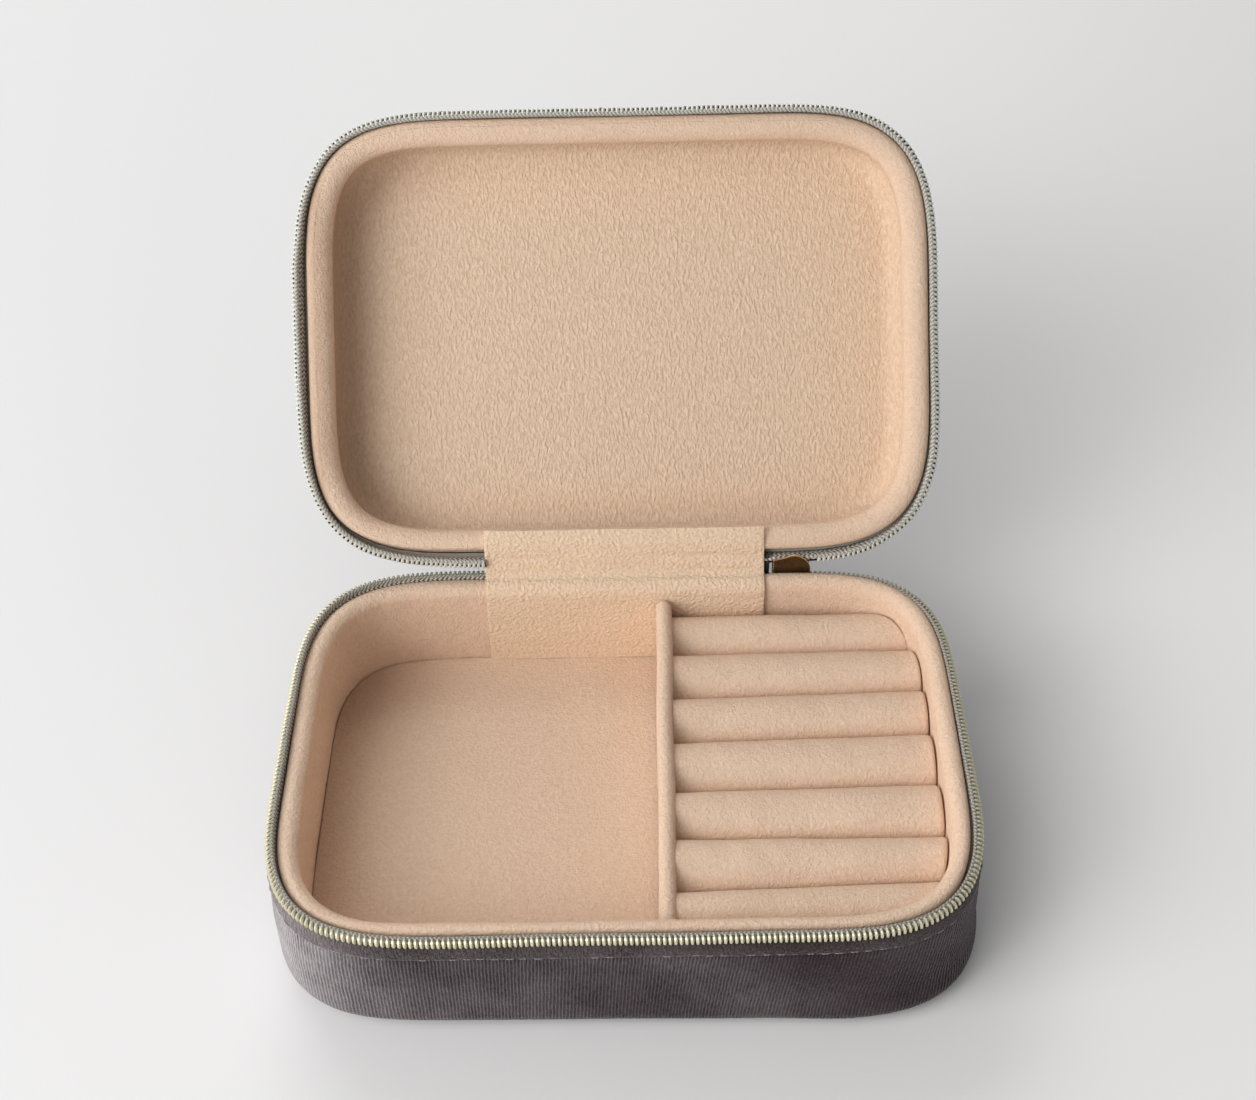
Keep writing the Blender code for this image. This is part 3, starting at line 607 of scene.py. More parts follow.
def make_velvet(name, light, dark, pale, ribs):
    """Velvet: the pile's height mixes root and tip colours, and slow patches shift the mix.

    Where the piece's value for patches and painted light nears 1, its tips and roots take the pale colour:
    a painted highlight. Below 0 the tips darken: a painted shade.
    """
    material, tree, shader = start_finish(name, Roughness=0.9, Sheen_Weight=0.55, Sheen_Roughness=0.3)
    shader.inputs["Sheen Tint"].default_value = linear("#E2DBDD")
    shader.inputs["Specular IOR Level"].default_value = 0.1
    coordinates = add_node(tree, "ShaderNodeTexCoord")
    pile = add_pile(tree, coordinates.outputs["UV"], ribs)
    patches_and_painted_light = add_node(
        tree,
        "ShaderNodeTexNoise",
        {"Vector": coordinates.outputs["Object"], "Scale": 1 / PATCH_WIDTH, "Detail": 2.0, "Roughness": 0.6},
    )
    patch = add_node(tree, "ShaderNodeMapRange", {"Value": patches_and_painted_light.outputs[0], "From Min": 0.35, "From Max": 0.65})
    shade = add_node(tree, "ShaderNodeMix", {"Factor": PATCH_SHARE, 2: pile, 3: patch.outputs[0]})
    painted_light_and_patches = add_node(tree, "ShaderNodeAttribute", attribute_name="patches_and_painted_light")
    tips = add_node(
        tree,
        "ShaderNodeMix",
        {"Factor": painted_light_and_patches.outputs["Fac"], 6: light, 7: pale},
        data_type="RGBA",
        clamp_factor=False,
    )
    roots = add_node(tree, "ShaderNodeMix", {"Factor": painted_light_and_patches.outputs["Fac"], 6: dark, 7: light}, data_type="RGBA")
    colour = add_node(
        tree,
        "ShaderNodeMix",
        {"Factor": shade.outputs[0], 6: roots.outputs[2], 7: tips.outputs[2]},
        data_type="RGBA",
    )
    bump = add_node(tree, "ShaderNodeBump", {"Height": pile, "Distance": 0.35 * MM, "Strength": 1.0})
    tree.links.new(colour.outputs[2], shader.inputs["Base Color"])
    tree.links.new(bump.outputs[0], shader.inputs["Normal"])
    return material


# the third colour of each velvet is the colour of its painted highlight
ribbed_velvet = make_velvet("ribbed_velvet", linear("#6C6266"), linear("#171214"), linear("#DCD8D9"), 0.58)
plain_velvet = make_velvet("hem_velvet", linear("#5F5453"), linear("#2A2323"), linear("#B5ACAC"), 0.1)
print("velvets:", ribbed_velvet.name, plain_velvet.name)

# %% Painted highlight and shade on the velvet's pile
# Each place is x and y on the table, the bell's reach, all in mm, and its strength: painted highlight above 0,
# painted shade below.
PAINTED_LIGHT_PLACES = [(-82, -40, 23, 0.95), (-70, -45, 60, 0.12), (84, -42, 38, -0.14)]
LEAST_PAINTED_LIGHT = -0.15


def paint_light_and_patches_on_pile(piece):
    """Keep painted highlight and shade on the pile: bells exp(-(distance / reach)^2) round the listed places, and
    soft patches.
    """
    points = points_of(piece)
    patches_and_painted_light = 0.04 * ripple(points, 31 * MM, 91)
    for x, y, reach, strength in PAINTED_LIGHT_PLACES:
        apart = np.linalg.norm(points[:, :2] - np.array([x, y]) * MM, axis=1)
        patches_and_painted_light += strength * np.exp(-((apart / (reach * MM)) ** 2))
    set_values(piece, "patches_and_painted_light", np.clip(patches_and_painted_light, LEAST_PAINTED_LIGHT, 1))


print(len(PAINTED_LIGHT_PLACES), "brushed places")

# %% [markdown]
# ### Zip tape, zip coil, thread and board
# The tape is a warp knit in grey-beige polyester: rows of small chevron stitches along the edge. They are
# drawn more than twice as high as the real ones, or they would blur to an even grey. The coil is a
# polyester filament wound into loops and coated pale gold, so it is a tinted metal to the eye. The base
# shows the gold side of its loops, which turn greyer where they go in over the tape. The lid shows mostly
# the inner side of its own, and its loops take a paler copy of the coating that turns grey early along each
# loop: painted light. The cord that sews the coil down is a darker copy on the base, painted shade, and a
# paler one on the lid, painted light. Thread shows as short glossy dashes, and the board inside is grey
# pulp that nobody sees until the box is taken apart.

# %% Zip tape's knit
TOOTH_PITCH = 1.19 * MM
KNIT_ROW, KNIT_SPECK, KNIT_SWING = 1.6 * MM, 0.8 * MM, 1.5


def make_tape_knit(name, light, dark, plain):
    """Chevron rows, and a close plain weave where the piece's value "plain" nears 1.

    The stitches are a sine along the tape, one to each tooth of the coil, whose phase swings with a second
    sine across it. That bends them into chevrons.
    """
    material, tree, shader = start_finish(name, Roughness=0.85, Sheen_Weight=0.15, Sheen_Roughness=0.4)
    place = add_node(tree, "ShaderNodeTexCoord").outputs["UV"]
    split = add_node(tree, "ShaderNodeSeparateXYZ", {0: place})
    rows = add_node(
        tree, "ShaderNodeMath", {0: split.outputs[1], 1: 2 * math.pi / KNIT_ROW}, operation="MULTIPLY"
    )
    row_wave = add_node(tree, "ShaderNodeMath", {0: rows.outputs[0]}, operation="SINE")
    along = add_node(
        tree, "ShaderNodeMath", {0: split.outputs[0], 1: 2 * math.pi / TOOTH_PITCH}, operation="MULTIPLY"
    )
    swung = add_node(
        tree,
        "ShaderNodeMath",
        {0: row_wave.outputs[0], 1: KNIT_SWING, 2: along.outputs[0]},
        operation="MULTIPLY_ADD",
    )
    stitch = add_node(tree, "ShaderNodeMath", {0: swung.outputs[0]}, operation="SINE")
    speck = add_node(tree, "ShaderNodeTexNoise", {"Vector": place, "Scale": 1 / KNIT_SPECK, "Detail": 2.0})
    total = add_node(
        tree, "ShaderNodeMath", {0: stitch.outputs[0], 1: 0.34, 2: speck.outputs[0]}, operation="MULTIPLY_ADD"
    )
    shade = add_node(tree, "ShaderNodeMapRange", {"Value": total.outputs[0], "From Min": 0.15, "From Max": 0.85})
    knit = add_node(tree, "ShaderNodeMix", {"Factor": shade.outputs[0], 6: dark, 7: light}, data_type="RGBA")
    plainness = add_node(tree, "ShaderNodeAttribute", attribute_name="plain")
    above = add_node(tree, "ShaderNodeMath", {0: 1.0, 1: plainness.outputs["Fac"]}, operation="SUBTRACT")
    colour = add_node(
        tree, "ShaderNodeMix", {"Factor": above.outputs[0], 6: plain, 7: knit.outputs[2]}, data_type="RGBA"
    )
    relief = add_node(tree, "ShaderNodeMath", {0: shade.outputs[0], 1: above.outputs[0]}, operation="MULTIPLY")
    bump = add_node(tree, "ShaderNodeBump", {"Height": relief.outputs[0], "Distance": 0.15 * MM, "Strength": 0.8})
    tree.links.new(colour.outputs[2], shader.inputs["Base Color"])
    tree.links.new(bump.outputs[0], shader.inputs["Normal"])
    return material


tape_knit = make_tape_knit("zip_tape_knit", linear("#E0DBD0"), linear("#514A40"), linear("#8C7C6B"))
print("tape:", tape_knit.name)


# %% Coil's coating
def make_coil_lacquer(name, gold, inner, turn_from, turn_to):
    """Coated filament: the outer colour, half metal, gives way to the dull inner one along each loop.

    The map's first value runs from 0 to 1 along a loop, and the change lies between the two given places.
    """
    material, tree, shader = start_finish(name, Roughness=0.4)
    place = add_node(tree, "ShaderNodeTexCoord").outputs["UV"]
    split = add_node(tree, "ShaderNodeSeparateXYZ", {0: place})
    turn_in = add_node(
        tree, "ShaderNodeMapRange", {"Value": split.outputs[0], "From Min": turn_from, "From Max": turn_to}
    )
    colour = add_node(tree, "ShaderNodeMix", {"Factor": turn_in.outputs[0], 6: gold, 7: inner}, data_type="RGBA")
    metal = add_node(tree, "ShaderNodeMapRange", {"Value": turn_in.outputs[0], "To Min": 0.45, "To Max": 0.0})
    tree.links.new(colour.outputs[2], shader.inputs["Base Color"])
    tree.links.new(metal.outputs[0], shader.inputs["Metallic"])
    return material


coil_gold = make_coil_lacquer("pale_gold_coil", linear("#DAD3B7"), linear("#AEAC9C"), 0.45, 0.68)
# the lid's loops: a paler copy of the same coating, grey from early along each loop, painted light
coil_painted_light = make_coil_lacquer("pale_grey_coil_painted_light", linear("#D3CBA5"), linear("#DAD9CE"), 0.12, 0.3)
print("coils:", coil_gold.name, coil_painted_light.name)

# %% Cord, board and thread
CORD_SPECK, PULP_FLECK = 0.3 * MM, 0.5 * MM


def make_cord_knit(name, light, dark):
    """Looped sewing cord: dark in the valleys and light on the crests of the relief kept on the piece."""
    material, tree, shader = start_finish(name, Roughness=0.75, Sheen_Weight=0.2, Sheen_Roughness=0.4)
    crest = add_node(tree, "ShaderNodeAttribute", attribute_name="relief")
    place = add_node(tree, "ShaderNodeTexCoord").outputs["UV"]
    speck = add_node(tree, "ShaderNodeTexNoise", {"Vector": place, "Scale": 1 / CORD_SPECK, "Detail": 2.0})
    shade = add_node(tree, "ShaderNodeMix", {"Factor": 0.3, 2: crest.outputs["Fac"], 3: speck.outputs[0]})
    colour = add_node(tree, "ShaderNodeMix", {"Factor": shade.outputs[0], 6: dark, 7: light}, data_type="RGBA")
    tree.links.new(colour.outputs[2], shader.inputs["Base Color"])
    return material


def make_board(name, light, dark):
    """Uncoated grey board: pressed pulp, flecked at half a millimetre."""
    material, tree, shader = start_finish(name, Roughness=0.95)
    place = add_node(tree, "ShaderNodeTexCoord").outputs["Object"]
    fleck = add_node(tree, "ShaderNodeTexNoise", {"Vector": place, "Scale": 1 / PULP_FLECK, "Detail": 4.0})
    colour = add_node(tree, "ShaderNodeMix", {"Factor": fleck.outputs[0], 6: dark, 7: light}, data_type="RGBA")
    bump = add_node(tree, "ShaderNodeBump", {"Height": fleck.outputs[0], "Distance": 0.05 * MM})
    tree.links.new(colour.outputs[2], shader.inputs["Base Color"])
    tree.links.new(bump.outputs[0], shader.inputs["Normal"])
    return material


def make_thread(name, light, dark):
    """Twisted sewing thread: two plies wound round each other show as slanting bands along a stitch."""
    material, tree, shader = start_finish(name, Roughness=0.5, Sheen_Weight=0.3)
    place = add_node(tree, "ShaderNodeTexCoord").outputs["UV"]
    bands = add_node(
        tree, "ShaderNodeTexWave", {"Vector": place, "Scale": 1.6, "Distortion": 0.5}, bands_direction="DIAGONAL"
    )
    colour = add_node(tree, "ShaderNodeMix", {"Factor": bands.outputs[1], 6: dark, 7: light}, data_type="RGBA")
    tree.links.new(colour.outputs[2], shader.inputs["Base Color"])
    return material


# one cord in two copies: the base's is darker, a painted shade, and the lid's paler, a painted light
cord_knits = {
    "base": make_cord_knit("zip_cord_knit_painted_shade", linear("#C0BBAF"), linear("#4C473D")),
    "lid": make_cord_knit("zip_cord_knit_painted_light", linear("#DAD8CE"), linear("#66625A")),
}
grey_board = make_board("grey_board", linear("#A39C90"), linear("#847C70"))
mauve_thread = make_thread("mauve_thread", linear("#9A8F92"), linear("#6A6063"))
print("board and thread:", grey_board.name, mauve_thread.name)

# %% [markdown]
# ### Antique brass
# The slider is cast and plated in antique brass: polished, then darkened chemically, and rubbed bright
# again along its edges. A metal's colour is its reflection's tint, so the dark body is a deep bronze and
# the rubbed border a pale brass. Each plate keeps a value, `rubbed`, that rises towards its border. Cloudy
# patches, a few millimetres wide, shift the tone and the polish a little.

# %% Antique brass
BRASS_CLOUD = 2.5 * MM
brass, brass_tree, brass_shader = start_finish("antique_brass", Metallic=1.0, Roughness=0.26)
brass_place = add_node(brass_tree, "ShaderNodeTexCoord").outputs["Object"]
brass_cloud = add_node(
    brass_tree, "ShaderNodeTexNoise", {"Vector": brass_place, "Scale": 1 / BRASS_CLOUD, "Detail": 4.0}
)
worn = add_node(brass_tree, "ShaderNodeAttribute", attribute_name="rubbed")
body_tone = add_node(
    brass_tree,
    "ShaderNodeMix",
    {"Factor": brass_cloud.outputs[0], 6: linear("#46382A"), 7: linear("#705C40")},
    data_type="RGBA",
)
brass_tone = add_node(
    brass_tree,
    "ShaderNodeMix",
    {"Factor": worn.outputs["Fac"], 6: body_tone.outputs[2], 7: linear("#EAD7AE")},
    data_type="RGBA",
)
brass_tree.links.new(brass_tone.outputs[2], brass_shader.inputs["Base Color"])
brass_grit = add_node(
    brass_tree, "ShaderNodeMapRange", {"Value": brass_cloud.outputs[0], "To Min": 0.2, "To Max": 0.36}
)
brass_tree.links.new(brass_grit.outputs[0], brass_shader.inputs["Roughness"])
print("slider's finish:", brass.name)

# %% [markdown]
# ## Velvet covers
# Each tray's velvet is a strip round its sides that turns under a rounded edge, with a flat panel let into
# the middle of its outer face. The strip is one closed section carried round the rim line; its top edge
# tucks in under the hem. The panel is the same line drawn in to its middle. The cloth was stretched by
# hand over the front corners, so it is fuller there and its wales lean a little. Two tables give both, at
# shares of the way round from the middle of the back, clockwise from above.

# %% Sizes of the covers
WALL_STEPS = 800
COVER_OUT = 3.1 * MM
COVER_THICK = 0.8 * MM
EDGE_RADIUS = 6 * MM
TURN_UNDER = 2 * MM
UNDER_EDGE = COVER_OUT - EDGE_RADIUS - TURN_UNDER
PANEL_SEAM = 0.25 * MM
FACE_SWELL = 0.45 * MM
# (share of the way round, millimetres out) and (share of the way round, sideways per millimetre down)
CORNER_FULL = [(0, 0), (0.27, 0.2), (0.35, 2.6), (0.39, 2.2), (0.44, 1.2), (0.52, 0.6), (0.6, 0.2)]
CORNER_FULL += [(0.66, 0.9), (0.72, 0), (1, 0)]
WALE_SLANT = [(0, 0), (0.28, 0), (0.36, -0.18), (0.44, -0.14), (0.52, -0.06), (0.6, 0), (1, 0)]
round_the_rim = np.arange(WALL_STEPS) * RIM_LENGTH / WALL_STEPS
print("places round the rim every", round(round_the_rim[1] / MM, 2), "mm")


# %% Velvet strips
def add_cover_strip(shell, height):
    """The velvet strip of one shell: outside face, rounded edge, a short turn under, and back inside.

    The pile makes the face a little full: it swells by half a sine between the hem and the table, more at
    the left end, and the low part of the front corners is fuller still. The map's first value is the
    distance round the rim, skewed by the slant times the distance down, so the wales lean with it.
    """
    # the top edge tucked in under the hem, the face, the rounded edge, and back inside a little further in
    centre = (COVER_OUT - EDGE_RADIUS, height - EDGE_RADIUS)
    tuck = line((2.6 * MM, 4.9 * MM), (COVER_OUT, 6.6 * MM), 5)
    outside = np.concatenate([tuck, line((COVER_OUT, 7.4 * MM), (COVER_OUT, centre[1] - 1 * MM), 9)])
    under = np.concatenate([arc(centre, EDGE_RADIUS, 0, -90, 14), [(UNDER_EDGE, height)]])
    inner = arc(centre, EDGE_RADIUS - COVER_THICK, -90, 0, 6)
    back = np.concatenate([[(UNDER_EDGE, height - COVER_THICK)], inner, [(2.3 * MM, 6 * MM)]])
    profile = np.concatenate([outside, under, back])
    outer_rows = np.arange(len(profile)) < len(outside) + 11
    rise = np.clip((profile[:, 1] - 6 * MM) / (height - 7 * MM), 0, 1)
    swell = np.where(outer_rows, FACE_SWELL * np.sin(np.pi * rise), 0)
    # fuller at the left end, and low down wherever the corner's table says so
    points, _ = rim_at(round_the_rim)
    left = np.exp(-(((points[:, 0] + RIM_HALF_WIDTH) / (22 * MM)) ** 2))
    low = np.clip((profile[:, 1] - height + 13 * MM) / (11 * MM), 0, 1) ** 1.5
    outward = np.clip((profile[:, 0] - centre[0]) / EDGE_RADIUS, 0, 1)
    offset = profile[:, 0][:, None] + swell[:, None] * (1 + 0.9 * left)
    offset += (low * outward)[:, None] * eased(CORNER_FULL, round_the_rim) * MM
    grid = wall_grid(shell, round_the_rim, offset, profile[:, 1])
    around = np.append(round_the_rim, RIM_LENGTH)
    across = measured(np.concatenate([profile, profile[:1]]))
    flat = np.stack(np.meshgrid(around, across), -1)
    flat[..., 0] += eased(WALE_SLANT, around) * across[:, None]
    name = shell + "_velvet_strip"
    return add_surface(name, grid, ribbed_velvet, wrap_rows=True, wrap_columns=True, flat_places=flat)


print("a strip turns under to", round(UNDER_EDGE / MM, 1), "mm from the rim line")


# %% Velvet panels
def closed_map(first, second):
    """Map places of a ring: two arrays per point, with the ring's first column repeated after its last."""
    places = np.stack(np.broadcast_arrays(first, second), -1)
    return np.concatenate([places, places[:, :1]], 1)


def add_cover_panel(shell, height):
    """The panel let into the face: the rim line drawn in to its middle by shares, then back inside.

    Its edge stands a hair's breadth in from the strip's and is rounded off by two more rows. The map's
    values are x and y, so the wales run straight over it.
    """
    shares = np.array([0.02, 0.25, 0.5, 0.75, 0.97, 1, 1, 1, 0.97, 0.02])
    offset = np.full(len(shares), UNDER_EDGE - PANEL_SEAM)
    offset[5:7] -= np.array([0.12, 0]) * MM
    depth = np.full(len(shares), height)
    depth[6] = height - 0.15 * MM
    depth[7:] = height - COVER_THICK
    grid = wall_grid(shell, round_the_rim[::2], offset, depth, shares)
    flat = wall_grid("base", round_the_rim[::2], offset, depth, shares)
    flat = closed_map(flat[..., 0], flat[..., 1])
    name = shell + "_velvet_panel"
    return add_surface(name, grid, ribbed_velvet, wrap_columns=True, fans=True, flat_places=flat)


for shell, height in (("base", BASE_HEIGHT), ("lid", LID_HEIGHT)):
    for piece in (add_cover_strip(shell, height), add_cover_panel(shell, height)):
        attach(piece, shell)
        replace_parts(piece, shell + "_cover")
        paint_light_and_patches_on_pile(piece)
        print(piece.name, len(piece.data.polygons), "faces")

# %% [markdown]
# ## Where the zip runs
# The zip starts right of the flap at the back, goes round the front and ends left of it. Close to the
# slider both halves are pushed down, so that the slider fits over them. Sewn tape never stands at quite
# the same distance from the lining: it lies close at the base's back corners, and on the lid it leans out
# beside the slider and at the left. For each tray one table says how far it leans out and one how far it
# is pushed down, at shares of the way round, and the course eases between their entries.

# %% The zip's course
ZIP_START = 35.3 * MM
ZIP_END = RIM_LENGTH - 34.8 * MM
BAND_STEPS = 760
round_the_zip = np.linspace(ZIP_START, ZIP_END, BAND_STEPS)
# (share of the way round, millimetres)
BOWS = {
    "base": [(0, -0.7), (0.08, -0.7), (0.15, -0.75), (0.19, -0.65), (0.25, -0.2), (0.31, 0), (0.5, 0.02), (0.7, 0)]
    + [(0.75, -0.12), (0.79, -0.5), (0.83, -0.68), (0.9, -0.7), (1, -0.7)],
    "lid": [(0, 1.0), (0.08, 1.3), (0.115, 1.3), (0.145, 0.6), (0.175, 0.15), (0.21, -0.1), (0.25, -0.25)]
    + [(0.35, -0.4), (0.42, -0.6), (0.5, -0.65), (0.6, -0.6), (0.66, -0.5), (0.69, 0.1), (0.715, 0.85)]
    + [(0.735, 1.0), (0.765, 0.95), (0.8, 0.35), (0.83, -0.05), (0.87, 0.05), (0.93, 0.75), (1, 0.85)],
}
SINKS = {
    "base": [(0, 2.3), (0.09, 2.3), (0.106, 1.7), (0.14, 0.9), (0.2, 0), (0.3, 0.2), (0.38, 0.6), (0.62, 0.6)]
    + [(0.7, -0.2), (0.76, -0.5), (0.85, -0.3), (1, 0)],
    "lid": [(0, 2.3), (0.104, 2.3), (0.2, 0), (1, 0)],
}
print("the zip runs", round((ZIP_END - ZIP_START) / MM), "mm of the rim's way")


def sink(shell, distance):
    """How far the zip is pushed down at places along the rim: its own table, read in millimetres."""
    return eased(SINKS[shell], distance) * MM


def bow(shell, distance):
    """How far the zip stands further out: its own table, and a slow waver of 0.08 mm."""
    points, _ = rim_at(distance)
    waver = ripple(np.concatenate([points, points[..., :1] * 0], -1), 45 * MM, 3 if shell == "base" else 5)
    return (eased(BOWS[shell], distance) + 0.08 * waver) * MM


# %% [markdown]
# ## Hem bands and their stitching
# A band of smooth velvet binds the tray's edge and holds the zip tape. Its section is a rounded strip with
# a slightly full outer face. Along its lower edge runs a row of machine stitches, half sunk in the pile,
# so only some of each dash shows.


# %% Hem bands
def add_hem(shell):
    """The hem: a rounded section from the zip down to the seam, its top following the dip at the slider."""
    top, bottom, inner, outer = 0.9 * MM, 6.0 * MM, 2.35 * MM, 3.28 * MM
    radius = 0.42 * MM
    middle = (inner + outer) / 2
    half = (outer - inner) / 2
    upper = arc((middle, top + half), half, 0, 180, 9)
    lower = arc((middle, bottom - radius), half, 180, 360, 9)
    outside = line((outer, bottom - 1 * MM), (outer, top + 1 * MM), 9)
    inside = line((inner, top + 1 * MM), (inner, bottom - 1 * MM), 4)
    profile = np.concatenate([outside, upper, inside, lower])
    points, _ = rim_at(round_the_zip)
    full = np.sin(np.clip((profile[:, 1] - top) / (bottom - top), 0, 1) * np.pi)
    share = np.clip((bottom - profile[:, 1]) / (bottom - top), 0, 1)
    bulge = np.where(profile[:, 0] > middle, (0.14 * full - 0.36 * share**2) * MM, 0)
    depth = profile[:, 1][:, None] + share[:, None] * sink(shell, round_the_zip)
    waver = ripple(np.column_stack([points, points[:, :1] * 0]), 11 * MM, 21) * 0.07 * MM
    offset = (profile[:, 0] + bulge)[:, None] + bow(shell, round_the_zip) * share[:, None] + waver
    grid = wall_grid(shell, round_the_zip, offset, depth)
    hem = add_surface(shell + "_hem_velvet", grid, plain_velvet, wrap_rows=True)
    paint_light_and_patches_on_pile(hem)
    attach(hem, shell)
    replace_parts(hem, shell + "_hem_band")
    return hem


STITCH_SEEDS = {"base": 8, "lid": 9}
HEM_FACE, SEAM_DEPTH = 3.24 * MM, 5.55 * MM


def add_stitches(shell):
    """Dashes of thread along the hem's lower edge, 3.1 mm apart and 2.3 mm long, sunk at both ends."""
    pitch, length, steps = 3.1 * MM, 2.3 * MM, 6
    count = int((ZIP_END - ZIP_START) / pitch) - 1
    chosen = np.random.default_rng(STITCH_SEEDS[shell])
    middle = ZIP_START + pitch * (np.arange(count) + 1) + chosen.normal(0, 0.12 * MM, count)
    place = np.linspace(-0.5, 0.5, steps)
    distance = middle[:, None] + length * place
    points, normals = rim_at(distance)
    sunk = chosen.uniform(-0.22, 0.04, count)[:, None] * MM
    offset = HEM_FACE + sunk + 0.16 * MM * np.cos(np.pi * place)
    depth = SEAM_DEPTH + chosen.normal(0, 0.08 * MM, count)[:, None] + 0 * place
    flat = points + normals * offset[..., None]
    path = into_shell(shell, flat[..., 0], flat[..., 1], depth)
    outwards = points + normals * (offset[..., None] + MM)
    first = into_shell(shell, outwards[..., 0], outwards[..., 1], depth) - path
    second = into_shell(shell, flat[..., 0], flat[..., 1], depth + MM) - path
    radius = 0.17 * MM * np.array([0.35, 0.85, 1, 1, 0.85, 0.35])
    thread = add_tubes(shell + "_hem_stitches", path, (first / MM, second / MM), radius, mauve_thread)
    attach(thread, shell)
    return count


for shell in ("base", "lid"):
    add_hem(shell)
    print(shell, "hem has", add_stitches(shell), "stitches")

# %% [markdown]
# ## Zip tapes
# The tape comes up between the board and the hem and stands beside the lining's edge, and its own edge
# turns over inside the coil's windings. Its mid-line across the wall is a chain of points drawn smooth,
# and the sheet gets half its thickness on each side. The part that the hem grips is a plain weave; on the
# lid's left side, where the tape leans out, that part shows higher up.

# %% Zip tapes
# The tape's mid-line across the wall, from its foot to its edge: (offset, depth) in millimetres.
TAPE_LINE = np.array(
    [(1.8, 8.0), (1.8, 6.0), (1.75, 4.6), (1.52, 3.6), (1.3, 2.8), (1.23, 2.0), (1.27, 1.2), (1.36, 0.5)]
    + [(1.5, -0.1), (1.8, -0.3), (2.1, -0.1), (2.15, 0.4), (1.98, 0.85), (1.85, 1.15)]
)
TAPE_THICK = 0.42 * MM
# (share of the way round, how far up the tape is plain, in millimetres)
PLAIN_TO = {
    "base": [(0, 2.2), (1, 2.2)],
    "lid": [(0, 2.4), (0.655, 2.4), (0.7, 4.7), (0.8, 4.7), (0.85, 2.4), (1, 2.4)],
}


def add_tape(shell, name):
    """The knit tape: its mid-line sinks more and more up to 8 mm along it, and bows out past 4 mm."""
    chain = smooth_line(TAPE_LINE * MM, 40)
    along = measured(chain)[:, None]
    reach = np.clip(along / (4 * MM) - 1, 0, 1)
    lowered = np.clip(along / (8 * MM), 0, 1)
    offset = chain[:, 0][:, None] + bow(shell, round_the_zip) * reach
    depth = chain[:, 1][:, None] + sink(shell, round_the_zip) * lowered
    grid = wall_grid(shell, round_the_zip, offset, depth)
    tape = add_sheet(name, grid, TAPE_THICK, tape_knit)
    plain = np.clip((eased(PLAIN_TO[shell], round_the_zip) * MM - along) / (0.4 * MM) + 0.5, 0, 1)
    set_values(tape, "plain", np.concatenate([plain, plain]))
    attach(tape, shell)
    return tape


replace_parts(add_tape("base", "lower_zip_tape"), "zip_tape_lower")
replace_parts(add_tape("lid", "upper_zip_tape"), "zip_tape_upper")
print("tape length", round((ZIP_END - ZIP_START) / MM), "mm")

# %% [markdown]
# ## Zip coil
# Each half of a coil zip is a filament wound round and round beside the tape's edge. Seen close, every
# turn is a loop: up the outer side, over a rounded head, and in to the tape, where a looped cord sews it
# down. One loop is a short path in the plane across the wall, and all the loops are made together as one
# array of tubes. The cord is a tube whose relief makes a row of small V stitches. The lid's loops are half
# a pitch out of step with the base's, so that the two halves mesh when the box is shut.

# %% Zip coil
# A loop's way across the wall: (offset, depth) and the filament's radius, in millimetres.
LOOP_LINE = np.array(
    [(2.5, 1.35), (2.72, 0.8), (2.8, 0.2), (2.68, -0.3), (2.32, -0.64), (1.9, -0.7), (1.52, -0.52), (1.32, -0.15)]
)
LOOP_RADIUS = np.array([0.34, 0.44, 0.47, 0.45, 0.39, 0.33, 0.3, 0.27])
LOOP_LEAN = 0.14 * MM
COIL_START = 36.6 * MM
LID_COIL_LATER = 11


def add_loops(shell, name, start, phase, finish):
    """All loops of one half: the loop's path at each pitch, leaning along the zip as a winding does."""
    count = int((ZIP_END - start) / TOOTH_PITCH)
    steps = len(LOOP_LINE)
    middle = start + TOOTH_PITCH * (np.arange(count) + phase)
    distance = middle[:, None] + LOOP_LEAN * np.linspace(-1, 1, steps)
    points, normals = rim_at(distance)
    offset = LOOP_LINE[:, 0] * MM + bow(shell, middle)[:, None]
    depth = LOOP_LINE[:, 1] * MM + sink(shell, middle)[:, None]
    flat = points + normals * offset[..., None]
    path = into_shell(shell, flat[..., 0], flat[..., 1], depth)
    ahead = np.gradient(path, axis=1)
    ahead /= np.linalg.norm(ahead, axis=-1, keepdims=True)
    sideways = into_shell(shell, flat[..., 0] - normals[..., 1], flat[..., 1] + normals[..., 0], depth) - path
    upright = np.cross(ahead, sideways)
    upright /= np.linalg.norm(upright, axis=-1, keepdims=True)
    sideways = np.cross(upright, ahead)
    loops = add_tubes(name, path, (sideways, upright), LOOP_RADIUS * MM, finish)
    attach(loops, shell)
    print(name, count, "loops,", len(loops.data.polygons), "faces")
    return loops


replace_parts(add_loops("base", "lower_zip_loops", COIL_START, 0.0, coil_gold), "zip_coil_lower")
lid_coil_start = COIL_START + LID_COIL_LATER * TOOTH_PITCH
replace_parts(add_loops("lid", "upper_zip_loops", lid_coil_start, 0.5, coil_painted_light), "zip_coil_upper")


